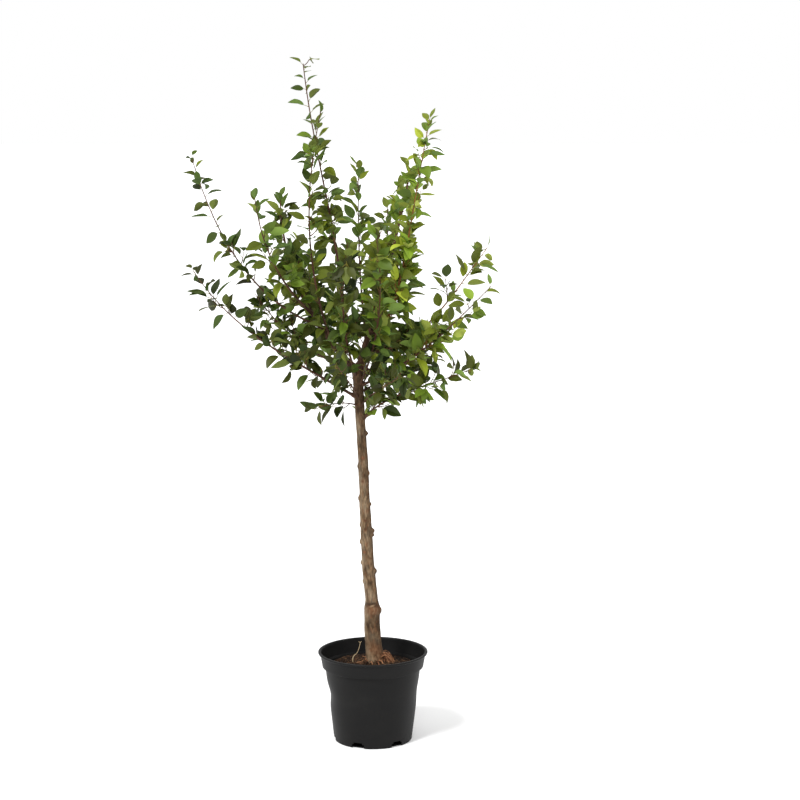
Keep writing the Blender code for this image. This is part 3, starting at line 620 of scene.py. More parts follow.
LEAF_FACES, LEAF_SIDES = leaf_faces()
UPPER = [plain(f"leaf_{i}_upper", srgb(*pair[0]), 0.50, 0.16) for i, pair in enumerate(TONES)]
UNDER = [plain(f"leaf_{i}_under", srgb(*pair[1]), 0.70, 0.08) for i, pair in enumerate(TONES)]
STALK = plain("leaf_stalk", srgb(112, 104, 44), 0.6, 0.15)
LEAVES_MADE = [0]


def in_the_open(point):
    """Whether a point, seen from the front and brought to the crown's middle plane, lies in one of the open places."""
    seen = VIEW + (point - VIEW) * VIEW[1] / (VIEW[1] - point[1])
    return any(((seen[0] * 1000 - x) / wide) ** 2 + ((seen[2] * 1000 - z) / high) ** 2 < 1 for x, z, wide, high in SKY)


def add_leaf(build, rng, start, out, along, lean, length, tone, hang):
    """One leaf on its stalk. out: which way round the shoot it stands; along: the shoot's direction, which the upper
    side faces; lean: how far from that direction the stalk leans, in degrees; hang: how far the blade sags."""
    stalk = length * rng.uniform(0.20, 0.36)
    sag = np.array((0, 0, -1.0))
    lean = math.radians(lean)
    first = unit(out * math.sin(lean) + along * math.cos(lean))
    second = unit(first + sag * hang * 0.22 + out * 0.10)
    joint = start + first * stalk * 0.5
    foot = joint + second * stalk * 0.5
    thick = length * 0.016
    stem_points, stem_faces = tube([start, joint, foot], [thick * 1.3, thick, thick * 0.9], 4)
    ahead = unit(second + sag * hang * rng.uniform(0.0, 0.4) + 0.16 * np.array([rng.gauss(0, 1) for _ in range(3)]))
    up = unit(along - ahead * np.dot(along, ahead) + np.array((0, 0, 0.30)))
    up = unit(up - ahead * np.dot(up, ahead))
    up = turned_about(up, ahead, rng.gauss(0, 0.72))
    side = np.cross(ahead, up)
    width = length * rng.uniform(0.52, 0.68)
    fold = math.radians(rng.uniform(6, 34))
    arch = rng.uniform(0.0, 0.62) if rng.random() < 0.85 else rng.uniform(0.6, 1.0)
    wave, turn = rng.uniform(0.0, 0.09), rng.uniform(0, 6.28)
    bend = rng.uniform(-0.14, 0.14)
    s = np.array(ROWS)
    half = width / 2 * np.sin(math.pi * s**0.80) ** 0.80 * (1 - 0.25 * s**5)
    teeth = 1 + 0.022 * np.where(np.arange(len(s)) % 2 == 0, 1, -1)
    run = np.linspace(0, 1, 29)
    angle = arch * run**1.15
    y = np.concatenate([[0], np.cumsum((np.cos(angle[1:]) + np.cos(angle[:-1])) / 2)]) / 28 * length
    z = -np.concatenate([[0], np.cumsum((np.sin(angle[1:]) + np.sin(angle[:-1])) / 2)]) / 28 * length
    rows_y, rows_z, phi = np.interp(s, run, y), np.interp(s, run, z), np.interp(s, run, angle)
    count = len(s)
    verts = np.zeros((count * 8 + 2, 3))
    thin = 0.00016
    for k, t in enumerate((*ACROSS, *ACROSS[1:4])):
        lift = 0.0 if k in (0, 4) else (thin if k < 5 else -thin)
        x = t * half * math.cos(fold) * (teeth if abs(t) == 1 else 1)
        high = np.abs(t) ** 0.9 * half * math.sin(fold) + wave * half * abs(t) * np.sin(s * 9 + turn + (1.7 if t > 0 else 0)) + lift
        x = x + bend * length * s * s * 0.5
        verts[k : count * 8 : 8] = np.stack([x, rows_y + high * np.sin(phi), rows_z + high * np.cos(phi)], -1)
    verts[count * 8 + 1] = (bend * length * 0.5, y[-1], z[-1])
    shade = 2 * min(5, max(0, round(tone + rng.gauss(0, 0.62)))) + (rng.random() < 0.42)
    world = foot + verts @ np.stack([side, ahead, up])
    low, high = world.min(axis=0), world.max(axis=0)
    if (low < LEAF_BOX[0]).any() or (high > LEAF_BOX[1]).any():
        return
    middle = (low + high) / 2
    off = middle[:2] - trunk_centre(CLEAR_Z)[:2]
    if low[2] < CLEAR_Z - 0.15 * off[1] and off[1] < 0 and abs(off[0]) < 0.013 + (high[0] - low[0]) / 2:
        return
    if build is None or in_the_open(middle):
        return
    LEAVES_MADE[0] += 1
    build.add(stem_points, stem_faces, build.slot(STALK))
    build.add(world, LEAF_FACES, np.where(LEAF_SIDES == 0, build.slot(UPPER[shade]), build.slot(UNDER[shade])))


def way_at(points, i):
    a, b = points[max(i - 1, 0)], points[min(i + 1, len(points) - 1)]
    return unit(b - a)


def leaves_on(build, rng, points, gap, size, tone, first=0.4, wide=52, narrow=26, small=0.62):
    """Leaves one after another up a shoot, each a good third of a turn on from the last; towards the tip they stand
    closer, steeper and smaller."""
    run = np.concatenate([[0], np.cumsum(np.linalg.norm(np.diff(points, axis=0), axis=1))])
    total = run[-1]
    turn = rng.uniform(0, 2 * math.pi)
    place = gap * rng.uniform(0.6, 1.4) * first
    while place < total + gap * 0.3:
        p = min(place, total)
        k = p / max(total, 1e-6)
        at = np.array([np.interp(p, run, points[:, c]) for c in range(3)])
        along = way_at(points, min(int(np.searchsorted(run, p)), len(points) - 1))
        side = unit(np.cross(along, (0.13, 1.0, 0.07)))
        turn += math.radians(rng.gauss(139, 15))
        out = turned_about(side, along, turn)
        length = size * mix(1.04, small, smooth((k - 0.62) / 0.38)) * rng.uniform(0.78, 1.14)
        lean = min(88.0, max(14.0, mix(wide, narrow, k**1.5) + rng.gauss(0, 11)))
        add_leaf(build, rng, at, out, along, lean, length, tone, rng.uniform(0.0, 0.7))
        place += gap * rng.uniform(0.6, 1.4) * mix(1.0, 0.55, smooth((k - 0.75) / 0.25))


def side_shoot(rng, start, along, length, low=36, high=62, rise=0.12, steps=7):
    """Points of a side shoot that leaves at a slant and turns up."""
    side = unit(np.cross(along, (0.13, 1.0, 0.07)))
    out = turned_about(side, along, rng.uniform(0, 2 * math.pi))
    slant = math.radians(rng.uniform(low, high))
    head = unit(out * math.sin(slant) + along * math.cos(slant))
    points, at = [start], np.array(start)
    for _ in range(steps):
        head = unit(head + np.array((0, 0, rise)) + np.array([rng.gauss(0, 0.06) for _ in range(3)]))
        at = at + head * length / steps
        points.append(at)
    return np.array(points)


def foliage():
    """Each mass: its limb grows on through it with leaves, side shoots and leafy spurs."""
    brown = patterned("shoot_bark", [(0.3, srgb(58, 34, 28)), (0.5, srgb(80, 49, 38)), (0.7, srgb(100, 70, 50))], 60, (1, 1, 0.4), (0.5, 0.75), 0.25, 260, 0.0005, 0.2)
    warm = patterned("young_shoot", [(0.3, srgb(104, 64, 34)), (0.55, srgb(132, 86, 44)), (0.75, srgb(146, 112, 58))], 70, (1, 1, 0.4), (0.5, 0.7), 0.2, 260, 0.0004, 0.2)
    twigs = Build()
    brown_slot, warm_slot = twigs.slot(brown), twigs.slot(warm)
    for number, mass in enumerate(MASSES):
        rng = random.Random(9100 + number * 37)
        limb, controls = LIMB[mass.limb], CONTROLS[mass.limb]
        end = min(mass.end, 1.0)
        bark = warm_slot if mass.tone >= 2.9 else brown_slot
        size = mass.size / 1000
        points = np.array([on_curve(controls, mix(mass.start, end, i / 25)) for i in range(26)])
        build = Build()
        wide, narrow = (66, 44) if mass.twigs <= 1 else (52, 28)
        leaves_on(build, rng, points, mass.gap / 1000, size, mass.tone + rng.gauss(0, 0.2), 1.0, wide, narrow, 0.70)
        for n in range(mass.twigs):
            k = 0.02 + 0.84 * (n + rng.uniform(0.05, 0.95)) / mass.twigs
            i = int(k * 25)
            length = mass.reach / 1000 * rng.uniform(0.55, 1.2) * mix(1.1, 0.75, k)
            shoot = side_shoot(rng, points[i], way_at(points, i), length)
            foot = min(0.0016, limb_radius(limb, mix(mass.start, end, k)) * 0.8)
            grows = not in_the_open(shoot[-1])
            if grows:
                twigs.add(*tube(shoot, np.linspace(foot, 0.0007, len(shoot)), 6), bark)
            leaves_on(build if grows else None, rng, shoot[1:], 0.0145, size * 0.96, mass.tone + rng.gauss(0, 0.45))
        for n in range(mass.spurs):
            t = mix(mass.low, end, (n + rng.random()) / mass.spurs)
            start, along = on_curve(controls, t), unit(on_curve(controls, t + 0.01) - on_curve(controls, t - 0.01))
            shoot = side_shoot(rng, start, along, limb_radius(limb, t) + rng.uniform(0.008, 0.024), 62, 88, 0.2, 4)
            grows = not in_the_open(shoot[-1])
            if grows:
                twigs.add(*tube(shoot, np.linspace(min(0.0018, limb_radius(limb, t) * 0.9), 0.0011, len(shoot)), 6), brown_slot)
            tone = mass.tone + rng.gauss(0, 0.45)
            for _ in range(rng.randint(3, 5)):
                way = way_at(shoot, len(shoot) - 1)
                out = turned_about(unit(np.cross(way, (0.13, 1.0, 0.07))), way, rng.uniform(0, 2 * math.pi))
                add_leaf(build if grows else None, rng, shoot[-1] - way * rng.uniform(0, 0.004), out, way, rng.uniform(38, 84), size * rng.uniform(0.72, 1.06), tone, rng.uniform(0.1, 0.9))
        for tuft in TUFTS:
            if tuft.mass == mass.name:
                own = random.Random(repr(tuft.tip))
                start, tip = on_curve(controls, tuft.at), np.array(tuft.tip) / 1000
                bow = np.array((0, 0, -0.16 * np.linalg.norm(tip - start)))
                shoot = np.array([mix(start, tip, k) + bow * 4 * k * (1 - k) for k in np.linspace(0, 1, 9)])
                twigs.add(*tube(shoot, np.linspace(min(0.0016, limb_radius(limb, tuft.at) * 0.8), 0.0007, 9), 6), bark)
                leaves_on(build, own, shoot[2:], tuft.gap / 1000, tuft.size / 1000, tuft.tone, 0.4, 58, 34, 0.8)
        obj = build.finish("leaves_" + mass.name.removeprefix("foliage_"), None, 42)
        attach(obj, "root")
        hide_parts(mass.name)
    for limb in LIMBS:
        start = min(m.start for m in MASSES if m.limb == limb.name)
        warm_limb = max(m.tone for m in MASSES if m.limb == limb.name) >= 2.9
        twigs.add(*limb_run(limb.name, start - 0.01, 1.0, 8, 0.006, 0.06, False), warm_slot if warm_limb and limb.parent != "trunk" else brown_slot)
    made = twigs.finish("shoots", None, 60)
    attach(made, "root")
    print("leaves", LEAVES_MADE[0])


def boughs():
    build = Build()
    for limb in LIMBS:
        start = min(m.start for m in MASSES if m.limb == limb.name)
        build.add(*limb_run(limb.name, 0.0, start, 18 if limb.foot_d > 12 else 12, 0.003))
    stub = [trunk_centre(0.917) + np.array((0.012 + 0.0165 * k, -0.002, 0.0095 * k + 0.001 * math.sin(5 * k))) for k in np.linspace(0, 1, 9)]
    build.add(*tube(stub, np.linspace(0.0015, 0.0008, 9), 10))
    made = build.finish("bough_bark", [
        patterned("bough_bark", [(0.25, srgb(44, 28, 22)), (0.45, srgb(66, 44, 33)), (0.6, srgb(88, 63, 47)), (0.8, srgb(74, 60, 42))], 48, (1, 1, 0.4), (0.6, 0.88), 0.4, 210, 0.0008, 0.2)
    ], 60)
    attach(made, "root")
    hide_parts(*[limb.name for limb in LIMBS])


# Container


def body_radius(z):
    return mix(POT_BASE_R, POT_BODY_TOP_R, z / (COLLAR_FOOT_Z - 0.003))


def lathe(profile, steps, bend=None):
    """A closed turned body. The profile starts and ends on the axis."""
    inner = profile[1:-1]
    verts = [(0, 0, profile[0][1])]
    for j in range(steps):
        a = 2 * math.pi * j / steps
        for r, z in inner:
            r2 = r + (bend(a, r, z) if bend else 0)
            verts.append((r2 * math.cos(a), r2 * math.sin(a), z))
    verts.append((0, 0, profile[-1][1]))
    n, last = len(inner), 1 + steps * len(inner)
    faces = []
    for j in range(steps):
        a, b = 1 + j * n, 1 + ((j + 1) % steps) * n
        faces.append((0, a, b))
        faces.append((last, b + n - 1, a + n - 1))
        for i in range(n - 1):
            faces.append((a + i, a + i + 1, b + i + 1))
            faces.append((a + i, b + i + 1, b + i))
    return np.array(verts), np.array(faces)


def wall_bend(a, r, z):
    """The thin wall's dents and waves: pressed in on the left under the collar, a little on the right too."""
    if r < 0.09 or z < 0.01:
        return 0.0
    left, right = near_angle(a, math.radians(186)), near_angle(a, math.radians(-4))
    dent = 0.0056 * math.exp(-((left / 0.42) ** 2) - ((z - 0.132) / 0.026) ** 2)
    dent += 0.0022 * math.exp(-((right / 0.40) ** 2) - ((z - 0.142) / 0.024) ** 2)
    fade = smooth((COLLAR_FOOT_Z - z) / 0.02)
    wave = 0.0006 * math.sin(2 * a + 0.7) * min(z / 0.1, 1) + 0.0004 * math.sin(5 * a + 20 * z) * min(z / 0.05, 1) * fade
    return wave - dent


def pot():
    inner = lambda z: body_radius(z) - WALL
    top, foot = POT_HEIGHT, COLLAR_FOOT_Z
    profile = [(0, FLOOR), (inner(0.006) - 0.002, FLOOR), (inner(0.006), 0.006)]
    profile += [(inner(z), z) for z in np.linspace(0.03, foot - 0.010, 10)]
    profile += [
        (inner(foot - 0.0020), foot + 0.0002), (inner(foot - 0.0020) + 0.0006, foot + 0.0014), (COLLAR_FOOT_R - WALL - 0.0016, foot + 0.0024),
        (COLLAR_FOOT_R - WALL - 0.0004, foot + 0.0034), (COLLAR_FOOT_R - WALL, foot + 0.0050),
        (mix(COLLAR_FOOT_R, COLLAR_TOP_R, 0.5) - WALL, mix(foot, top, 0.45)), (COLLAR_TOP_R - WALL, top - 0.009),
        (COLLAR_TOP_R - WALL + 0.0003, top - 0.0036), (COLLAR_TOP_R - WALL + 0.0009, top - 0.0014), (COLLAR_TOP_R - WALL + 0.0018, top - 0.0004),
        (COLLAR_TOP_R + 0.0008, top), (LIP_R - 0.0024, top), (LIP_R - 0.0010, top - 0.0003), (LIP_R - 0.0003, top - 0.0009),
        (LIP_R, top - 0.0018), (LIP_R - 0.0001, top - 0.0036), (LIP_R - 0.0008, top - 0.0048), (LIP_R - 0.0022, top - 0.0056),
        (COLLAR_TOP_R + 0.0024, top - 0.0062), (COLLAR_TOP_R + 0.0007, top - 0.0078), (COLLAR_TOP_R, top - 0.0105),
        (mix(COLLAR_FOOT_R, COLLAR_TOP_R, 0.5), mix(foot, top, 0.4)), (COLLAR_FOOT_R + 0.0004, mix(foot, top, 0.14)), (COLLAR_FOOT_R, foot + 0.0016),
        (COLLAR_FOOT_R - 0.0006, foot + 0.0002), (COLLAR_FOOT_R - 0.0020, foot - 0.0004),
        (body_radius(foot - 0.002) + 0.0012, foot - 0.0009), (body_radius(foot - 0.003) + 0.0002, foot - 0.0022),
    ]
    profile += [(body_radius(z), z) for z in np.linspace(foot - LEDGE, 0.006, 26)]
    profile += [(POT_BASE_R + 0.0002, 0.003), (POT_BASE_R - 0.0006, 0.0010), (POT_BASE_R - 0.0022, 0), (0, 0)]

    verts, faces = lathe(profile, 168, wall_bend)
    build = Build()
    build.add(verts, faces)
    plastic = patterned(
        "pot_plastic", [(0.30, (0.0042, 0.0041, 0.0042)), (0.55, (0.0054, 0.0052, 0.0051)), (0.75, (0.0082, 0.0079, 0.0075))], 9, (1, 1, 1.6), (0.44, 0.58), 0.05, 160, 0.0006, 0.13
    )
    obj = build.finish("nursery_pot", [plastic], 32)
    bm = bmesh.new()
    for i in range(DRAIN_COUNT):
        azimuth = math.radians(DRAIN_FIRST + i * 360 / DRAIN_COUNT)
        made = bmesh.ops.create_cube(bm, size=1.0)["verts"]
        deep, high = DRAIN_DEEP + 0.030, DRAIN_HIGH + 0.010
        bmesh.ops.scale(bm, vec=(deep, DRAIN_WIDE, high), verts=made)
        edges = [e for e in {e for v in made for e in v.link_edges} if all(v.co.z > 0 for v in e.verts) and abs(e.verts[0].co.y - e.verts[1].co.y) < 1e-6]
        made = list({v for v in made})
        middle = POT_BASE_R - DRAIN_DEEP + deep / 2
        rounded = bmesh.ops.bevel(bm, geom=edges, offset=0.005, segments=4, affect="EDGES")
        made = [v for v in bm.verts if v.is_valid and (v in made or v in rounded["verts"]) and abs(v.co.x) <= deep]
        bmesh.ops.translate(bm, vec=(middle, 0, DRAIN_HIGH - high / 2), verts=made)
        bmesh.ops.rotate(bm, cent=(0, 0, 0), matrix=Matrix.Rotation(azimuth, 3, "Z"), verts=made)
    bmesh.ops.recalc_face_normals(bm, faces=bm.faces[:])
    mesh = bpy.data.meshes.new("drain_cut")
    bm.to_mesh(mesh)
    bm.free()
    cutter = bpy.data.objects.new("drain_cut", mesh)
    bpy.context.scene.collection.objects.link(cutter)
    modifier = obj.modifiers.new("drains", "BOOLEAN")
    modifier.object, modifier.operation, modifier.solver = cutter, "DIFFERENCE", "EXACT"
    graph = bpy.context.evaluated_depsgraph_get()
    cut = bpy.data.meshes.new_from_object(obj.evaluated_get(graph))
    obj.modifiers.clear()
    if len(cut.polygons) > 1000:
        obj.data = cut
        obj.data.shade_smooth()
        obj.data.set_sharp_from_angle(angle=math.radians(32))
    bpy.data.objects.remove(cutter, do_unlink=True)
    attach(obj, "root")
    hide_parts("pot")


RIM_Z = COLLAR_FOOT_Z - 0.0080
RIM_R = body_radius(RIM_Z) - WALL - 0.0004


def ground_height(x, y):
    r = math.hypot(x, y)
    k = max(0.0, (r - COMPOST_FLAT_R) / (RIM_R - COMPOST_FLAT_R))
    z = mix(COMPOST_TOP, COMPOST_EDGE_Z, k**1.2) - 0.0006
    near = math.hypot(x - TRUNK_FOOT_X, y)
    z += 0.0035 * math.exp(-(((near - 0.03) / 0.016) ** 2))
    z += (0.0026 * noise.noise(Vector((x * 42, y * 42, 1.5))) + 0.0014 * noise.noise(Vector((x * 130, y * 130, 4)))) * (1 - 0.5 * k)
    return z


def chip(rng, length, width, thick):
    """A splinter of bark: a flat block with corners knocked about."""
    corners = np.array([(x, y, z) for x in (-0.5, 0.5) for y in (-0.5, 0.5) for z in (-0.5, 0.5)])
    corners = corners * (length, width, thick) * np.array([[rng.uniform(0.55, 1.1) for _ in range(3)] for _ in range(8)])
    faces = [(0, 1, 3), (0, 3, 2), (4, 6, 7), (4, 7, 5), (0, 4, 5), (0, 5, 1), (2, 3, 7), (2, 7, 6), (0, 2, 6), (0, 6, 4), (1, 5, 7), (1, 7, 3)]
    return corners, faces


def compost():
    """Damp bark compost: the ground itself, with chips and fibres on it, and painted shade darkening it and its chips
    to the right.
    """
    rng = random.Random(77)
    side = lambda z: body_radius(z) - WALL - 0.0006
    rings, steps = 46, 120
    verts, faces = [(0, 0, ground_height(0, 0))], []
    for i in range(1, rings + 1):
        r = RIM_R * (i / rings) ** 0.8
        for j in range(steps):
            a = 2 * math.pi * j / steps
            x, y = r * math.cos(a), r * math.sin(a)
            verts.append((x, y, ground_height(x, y)))
    notch = lambda a: max(math.exp(-((near_angle(a, math.radians(DRAIN_FIRST + n * 360 / DRAIN_COUNT)) / 0.24) ** 6)) for n in range(DRAIN_COUNT))
    levels = [(side(z) - 0.0006, z, 0) for z in (0.180, 0.160, 0.148, 0.138, 0.128, 0.118, 0.105, 0.085, 0.045)]
    levels += [(side(0.020), 0.020, 0.030), (side(0.0065), 0.0065, 0.034), (side(0.0065) - 0.0022, FLOOR + 0.0004, 0.034)]
    for r, z, back in levels:
        for j in range(steps):
            a = 2 * math.pi * j / steps
            rr = r + min(wall_bend(a, r, z), 0.0) - back * notch(a)  # hollow behind the drain openings
            verts.append((rr * math.cos(a), rr * math.sin(a), z))
    verts.append((0, 0, FLOOR + 0.0004))
    total = rings + len(levels)
    for j in range(steps):
        k = (j + 1) % steps
        faces.append((0, 1 + j, 1 + k))
        for i in range(total - 1):
            a, b = 1 + i * steps, 1 + (i + 1) * steps
            faces += [(a + j, b + j, b + k), (a + j, b + k, a + k)]
        a = 1 + (total - 1) * steps
        faces.append((len(verts) - 1, a + k, a + j))
    ground = Build()
    ground.add(verts, faces)
    soil = patterned("compost", [(0.3, srgb(15, 10, 8)), (0.5, srgb(26, 17, 12)), (0.68, srgb(40, 27, 18))], 120, (1, 1, 1), (0.85, 1.0), 0.9, 420, 0.0022, 0.1)
    # Painted shade: the compost darkens towards the right
    layered(soil, [("damp", srgb(19, 15, 13))])
    obj = ground.finish("compost_ground", [soil], 80)
    damp = obj.data.attributes.new("damp", "FLOAT", "POINT")
    damp.data.foreach_set("value", np.array([0.85 * smooth((v[0] - 0.010) / 0.060) for v in verts], np.float32))
    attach(obj, "root")
    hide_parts("compost")
    loose = Build()
    for _ in range(2600):
        r, a = RIM_R * 0.985 * math.sqrt(rng.random()), rng.uniform(0, 2 * math.pi)
        x, y = r * math.cos(a), r * math.sin(a)
        if math.hypot(x - TRUNK_FOOT_X, y) < 0.026:
            continue
        length = rng.uniform(0.0025, 0.0075) * (1.8 if rng.random() < 0.14 else 1)
        points, sides = chip(rng, length, length * rng.uniform(0.25, 0.6), rng.uniform(0.0010, 0.0024))
        turn = Matrix.Rotation(rng.uniform(0, 6.28), 3, "Z") @ Matrix.Rotation(rng.gauss(0, 0.42), 3, "X") @ Matrix.Rotation(rng.gauss(0, 0.42), 3, "Y")
        points = points @ np.array(turn).T + (x, y, ground_height(x, y) + rng.uniform(-0.0004, 0.0012))
        # Painted shade: darker chips are dealt out more often towards the right
        chip_shade_right = smooth((x - 0.010) / 0.060)
        loose.add(points, sides, rng.choices((0, 1, 2), (mix(0.56, 0.88, chip_shade_right), mix(0.36, 0.11, chip_shade_right), mix(0.08, 0.01, chip_shade_right)))[0])
    for n in range(300):
        # Fibres: most lie anyhow, some run out from the stem's foot
        from_stem = n % 3 == 0 or n > 240
        r, a = RIM_R * 0.94 * math.sqrt(rng.random()), rng.uniform(0, 2 * math.pi)
        if from_stem:
            r = rng.uniform(0.028, 0.050)
            a = a if n <= 240 else math.radians(rng.uniform(170, 275))
        x, y = r * math.cos(a) + (TRUNK_FOOT_X if from_stem else 0), r * math.sin(a)
        head = a + rng.gauss(0, 0.4) if from_stem else rng.uniform(0, 6.28)
        if math.hypot(x - TRUNK_FOOT_X, y) < 0.027:
            continue
        run = []
        for k in range(8):
            if math.hypot(x, y) < RIM_R * 0.97:
                heap = 0.0075 * math.exp(-(((math.hypot(x - TRUNK_FOOT_X, y) - 0.024) / 0.016) ** 2)) if n > 240 else 0.0
                run.append((x, y, ground_height(x, y) + 0.0012 + heap + 0.0016 * math.sin(k * 1.3 + head)))
            head += rng.gauss(0, 0.40)
            x, y = x + 0.0045 * math.cos(head), y + 0.0045 * math.sin(head)
        if len(run) > 3:
            loose.add(*tube(run, [rng.uniform(0.0003, 0.0008)] * len(run), 5), 3 if rng.random() < 0.6 else 1)
    chips = [
        patterned("chip_dark", [(0.35, srgb(19, 13, 10)), (0.65, srgb(33, 23, 16))], 160, (1, 1, 1), (0.75, 0.95), 0.4, 500, 0.0006, 0.12),
        patterned("chip_brown", [(0.35, srgb(38, 26, 18)), (0.65, srgb(56, 38, 26))], 160, (1, 1, 1), (0.7, 0.9), 0.4, 500, 0.0006, 0.12),
        patterned("chip_tan", [(0.35, srgb(64, 47, 32)), (0.65, srgb(88, 66, 46))], 160, (1, 1, 1), (0.7, 0.9), 0.3, 500, 0.0006, 0.12),
        patterned("fibre", [(0.35, srgb(64, 46, 31)), (0.65, srgb(94, 70, 49))], 200, (1, 1, 1), (0.6, 0.85), 0.2, 500, 0.0003, 0.12),
    ]
    made = loose.finish("compost_chips", chips, 30)
    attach(made, "root")


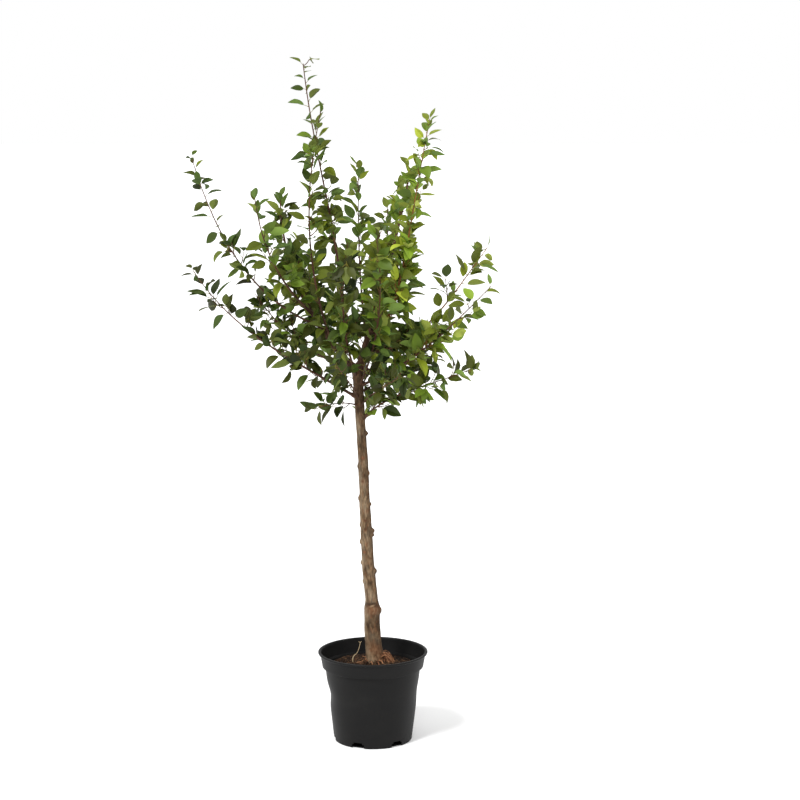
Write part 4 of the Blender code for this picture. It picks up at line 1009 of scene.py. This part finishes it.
def roots():
    """Arching surface roots over a dark clod on the right of the foot, and a pale stray root on the left."""
    rng = random.Random(31)
    build = Build()
    cx, cy = 0.0375, 0.004
    bm = bmesh.new()
    bmesh.ops.create_icosphere(bm, subdivisions=5, radius=1.0)
    points = np.array([v.co for v in bm.verts])
    faces = [[v.index for v in f.verts] for f in bm.faces]
    bm.free()
    rough = np.array([1 + 0.26 * noise.noise(Vector(p) * 2.2) + 0.16 * noise.noise(Vector(p) * 6) + 0.07 * noise.noise(Vector(p) * 14) for p in points])
    clod = points * rough[:, None] * (0.0175, 0.0190, 0.0190) + (cx - 0.003, cy + 0.003, COMPOST_TOP - 0.001)
    build.add(clod, faces, 1)
    for k in range(74):
        # Most arch over from the stem's side to the outer right; the rest wind round the clod
        over = k < 46
        if over:
            x0, y0, z0 = 0.012 + rng.uniform(0, 0.014), cy + rng.uniform(-0.018, 0.012), rng.uniform(0.006, 0.024)
            x1, y1 = cx + rng.uniform(0.006, 0.024), cy + rng.uniform(-0.026, 0.016)
            high = rng.uniform(0.014, 0.025) - z0 * 0.4
        else:
            a0 = rng.uniform(0, 6.28)
            x0, y0, z0 = cx + 0.015 * math.cos(a0), cy + 0.017 * math.sin(a0), 0.001
            a1 = a0 + rng.uniform(1.2, 2.6)
            x1, y1 = cx + 0.020 * math.cos(a1), cy + 0.022 * math.sin(a1)
            high = rng.uniform(0.008, 0.022)
        run = []
        for i in range(17):
            t = i / 16
            bow = math.sin(math.pi * t) ** 0.8
            x = mix(x0, x1, t) + 0.0022 * math.sin(6 * t + k)
            y = mix(y0, y1, t) + 0.0026 * math.cos(5 * t + k * 1.7)
            run.append((x, y, COMPOST_TOP + mix(z0, -0.001, t) + high * bow + 0.0006 * math.sin(11 * t + k)))
        thick = rng.uniform(0.0005, 0.0012) * (1.8 if k in (2, 7, 13, 21, 33) else 1)
        build.add(*tube(run, thick * np.linspace(1.25, 0.8, 17) * (1 + 0.16 * np.sin(np.arange(17) * 1.7 + k)), 8), 0 if rng.random() < 0.72 else 2)
    for k in range(9):
        # Roots that run out from the stem's foot just over the compost
        a = math.radians((200, 225, 252, 280, 300, 160, 125, 80, 45)[k])
        run, head, r = [], a, 0.020
        x, y = TRUNK_FOOT_X + r * math.cos(a), r * math.sin(a)
        for i in range(12):
            z = ground_height(x, y)
            run.append((x, y, z + mix(0.0065, -0.0016, i / 11) + 0.001 * math.sin(i * 1.1 + k)))
            head += rng.gauss(0, 0.14)
            x, y = x + 0.0042 * math.cos(head), y + 0.0042 * math.sin(head)
        build.add(*tube(run, np.linspace(rng.uniform(0.0018, 0.0030), 0.0009, 12), 8), 2 if k % 2 else 0)
    made = build.finish("surface_root_knot", [
        patterned("root_tan", [(0.3, srgb(104, 70, 47)), (0.55, srgb(136, 96, 67)), (0.75, srgb(162, 124, 92))], 130, (1, 1, 1), (0.6, 0.85), 0.4, 380, 0.0006, 0.15),
        patterned("root_clod", [(0.3, srgb(30, 18, 12)), (0.48, srgb(70, 46, 32)), (0.62, srgb(104, 72, 50)), (0.8, srgb(124, 90, 64))], 110, (1, 1, 1), (0.8, 1.0), 0.8, 360, 0.0016, 0.1),
        patterned("root_brown", [(0.3, srgb(70, 42, 28)), (0.55, srgb(98, 62, 42)), (0.75, srgb(124, 84, 58))], 130, (1, 1, 1), (0.6, 0.85), 0.4, 380, 0.0006, 0.15),
    ], 55)
    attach(made, "root")
    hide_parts("surface_roots")
    stray = Build()
    main = [(-0.0562, -0.004, 0.2190), (-0.0570, -0.001, 0.2340), (-0.0520, 0.003, 0.2395), (-0.0450, 0.008, 0.2425), (-0.0408, 0.015, 0.2510), (-0.0372, 0.024, 0.2620), (-0.0362, 0.030, 0.2680)]
    left = [(-0.0362, 0.030, 0.2675), (-0.0385, 0.031, 0.2700), (-0.0412, 0.031, 0.2706)]
    right = [(-0.0362, 0.030, 0.2675), (-0.0340, 0.031, 0.2705), (-0.0322, 0.032, 0.2712)]
    for run, thick in ((main, 0.00095), (left, 0.0008), (right, 0.0008)):
        dense = np.array([[np.interp(t, np.linspace(0, 1, len(run)), [p[k] for p in run]) for k in range(3)] for t in np.linspace(0, 1, 22)])
        for _ in range(3):
            dense[1:-1] = (dense[:-2] + dense[1:-1] * 2 + dense[2:]) / 4
        stray.add(*tube(dense, np.linspace(thick, thick * 0.7, 22), 8))
    made = stray.finish("stray_root", [patterned("root_pale", [(0.3, srgb(132, 110, 86)), (0.5, srgb(166, 146, 114)), (0.7, srgb(200, 182, 146))], 150, (1, 1, 1), (0.55, 0.75), 0.2, 380, 0.0004, 0.2)], 60)
    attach(made, "root")


def studio():
    """Camera at the photograph's angle, a pale floor and soft light from the left front."""
    scene = bpy.context.scene
    data = bpy.data.cameras.new("camera")
    data.sensor_fit, data.sensor_width, data.lens = "HORIZONTAL", 36.0, 99.0
    data.clip_end = 200
    camera = bpy.data.objects.new("camera", data)
    camera.location = (0.0762, -6.0, 1.917)
    camera.rotation_euler = (math.radians(81), 0, 0)
    scene.collection.objects.link(camera)
    scene.camera = camera
    bm = bmesh.new()
    bmesh.ops.create_grid(bm, x_segments=1, y_segments=1, size=40)
    mesh = bpy.data.meshes.new("floor")
    bm.to_mesh(mesh)
    bm.free()
    mesh.materials.append(plain("floor_pale", (0.90, 0.90, 0.90), 0.9, 0.1))
    floor = bpy.data.objects.new("floor", mesh)
    floor.location = (0, 0, -0.0002)
    scene.collection.objects.link(floor)
    world = bpy.data.worlds.new("studio")
    world.use_nodes = True
    world.node_tree.nodes["Background"].inputs["Color"].default_value = (1, 1, 1, 1)
    world.node_tree.nodes["Background"].inputs["Strength"].default_value = 1.0
    scene.world = world
    for name, elevation, azimuth, strength, soft in (("key", 48, -128, 2.6, 14), ("fill", 32, -82, 0.8, 30)):
        light = bpy.data.lights.new(name, "SUN")
        light.energy, light.angle = strength, math.radians(soft)
        lamp = bpy.data.objects.new(name, light)
        lamp.location = direction(elevation, azimuth) * 6
        lamp.rotation_euler = Vector(-direction(elevation, azimuth)).to_track_quat("-Z", "Y").to_euler()
        scene.collection.objects.link(lamp)
    scene.view_settings.view_transform = "Standard"


studio()
trunk()
boughs()
foliage()
pot()
compost()
roots()

bpy.context.view_layer.update()
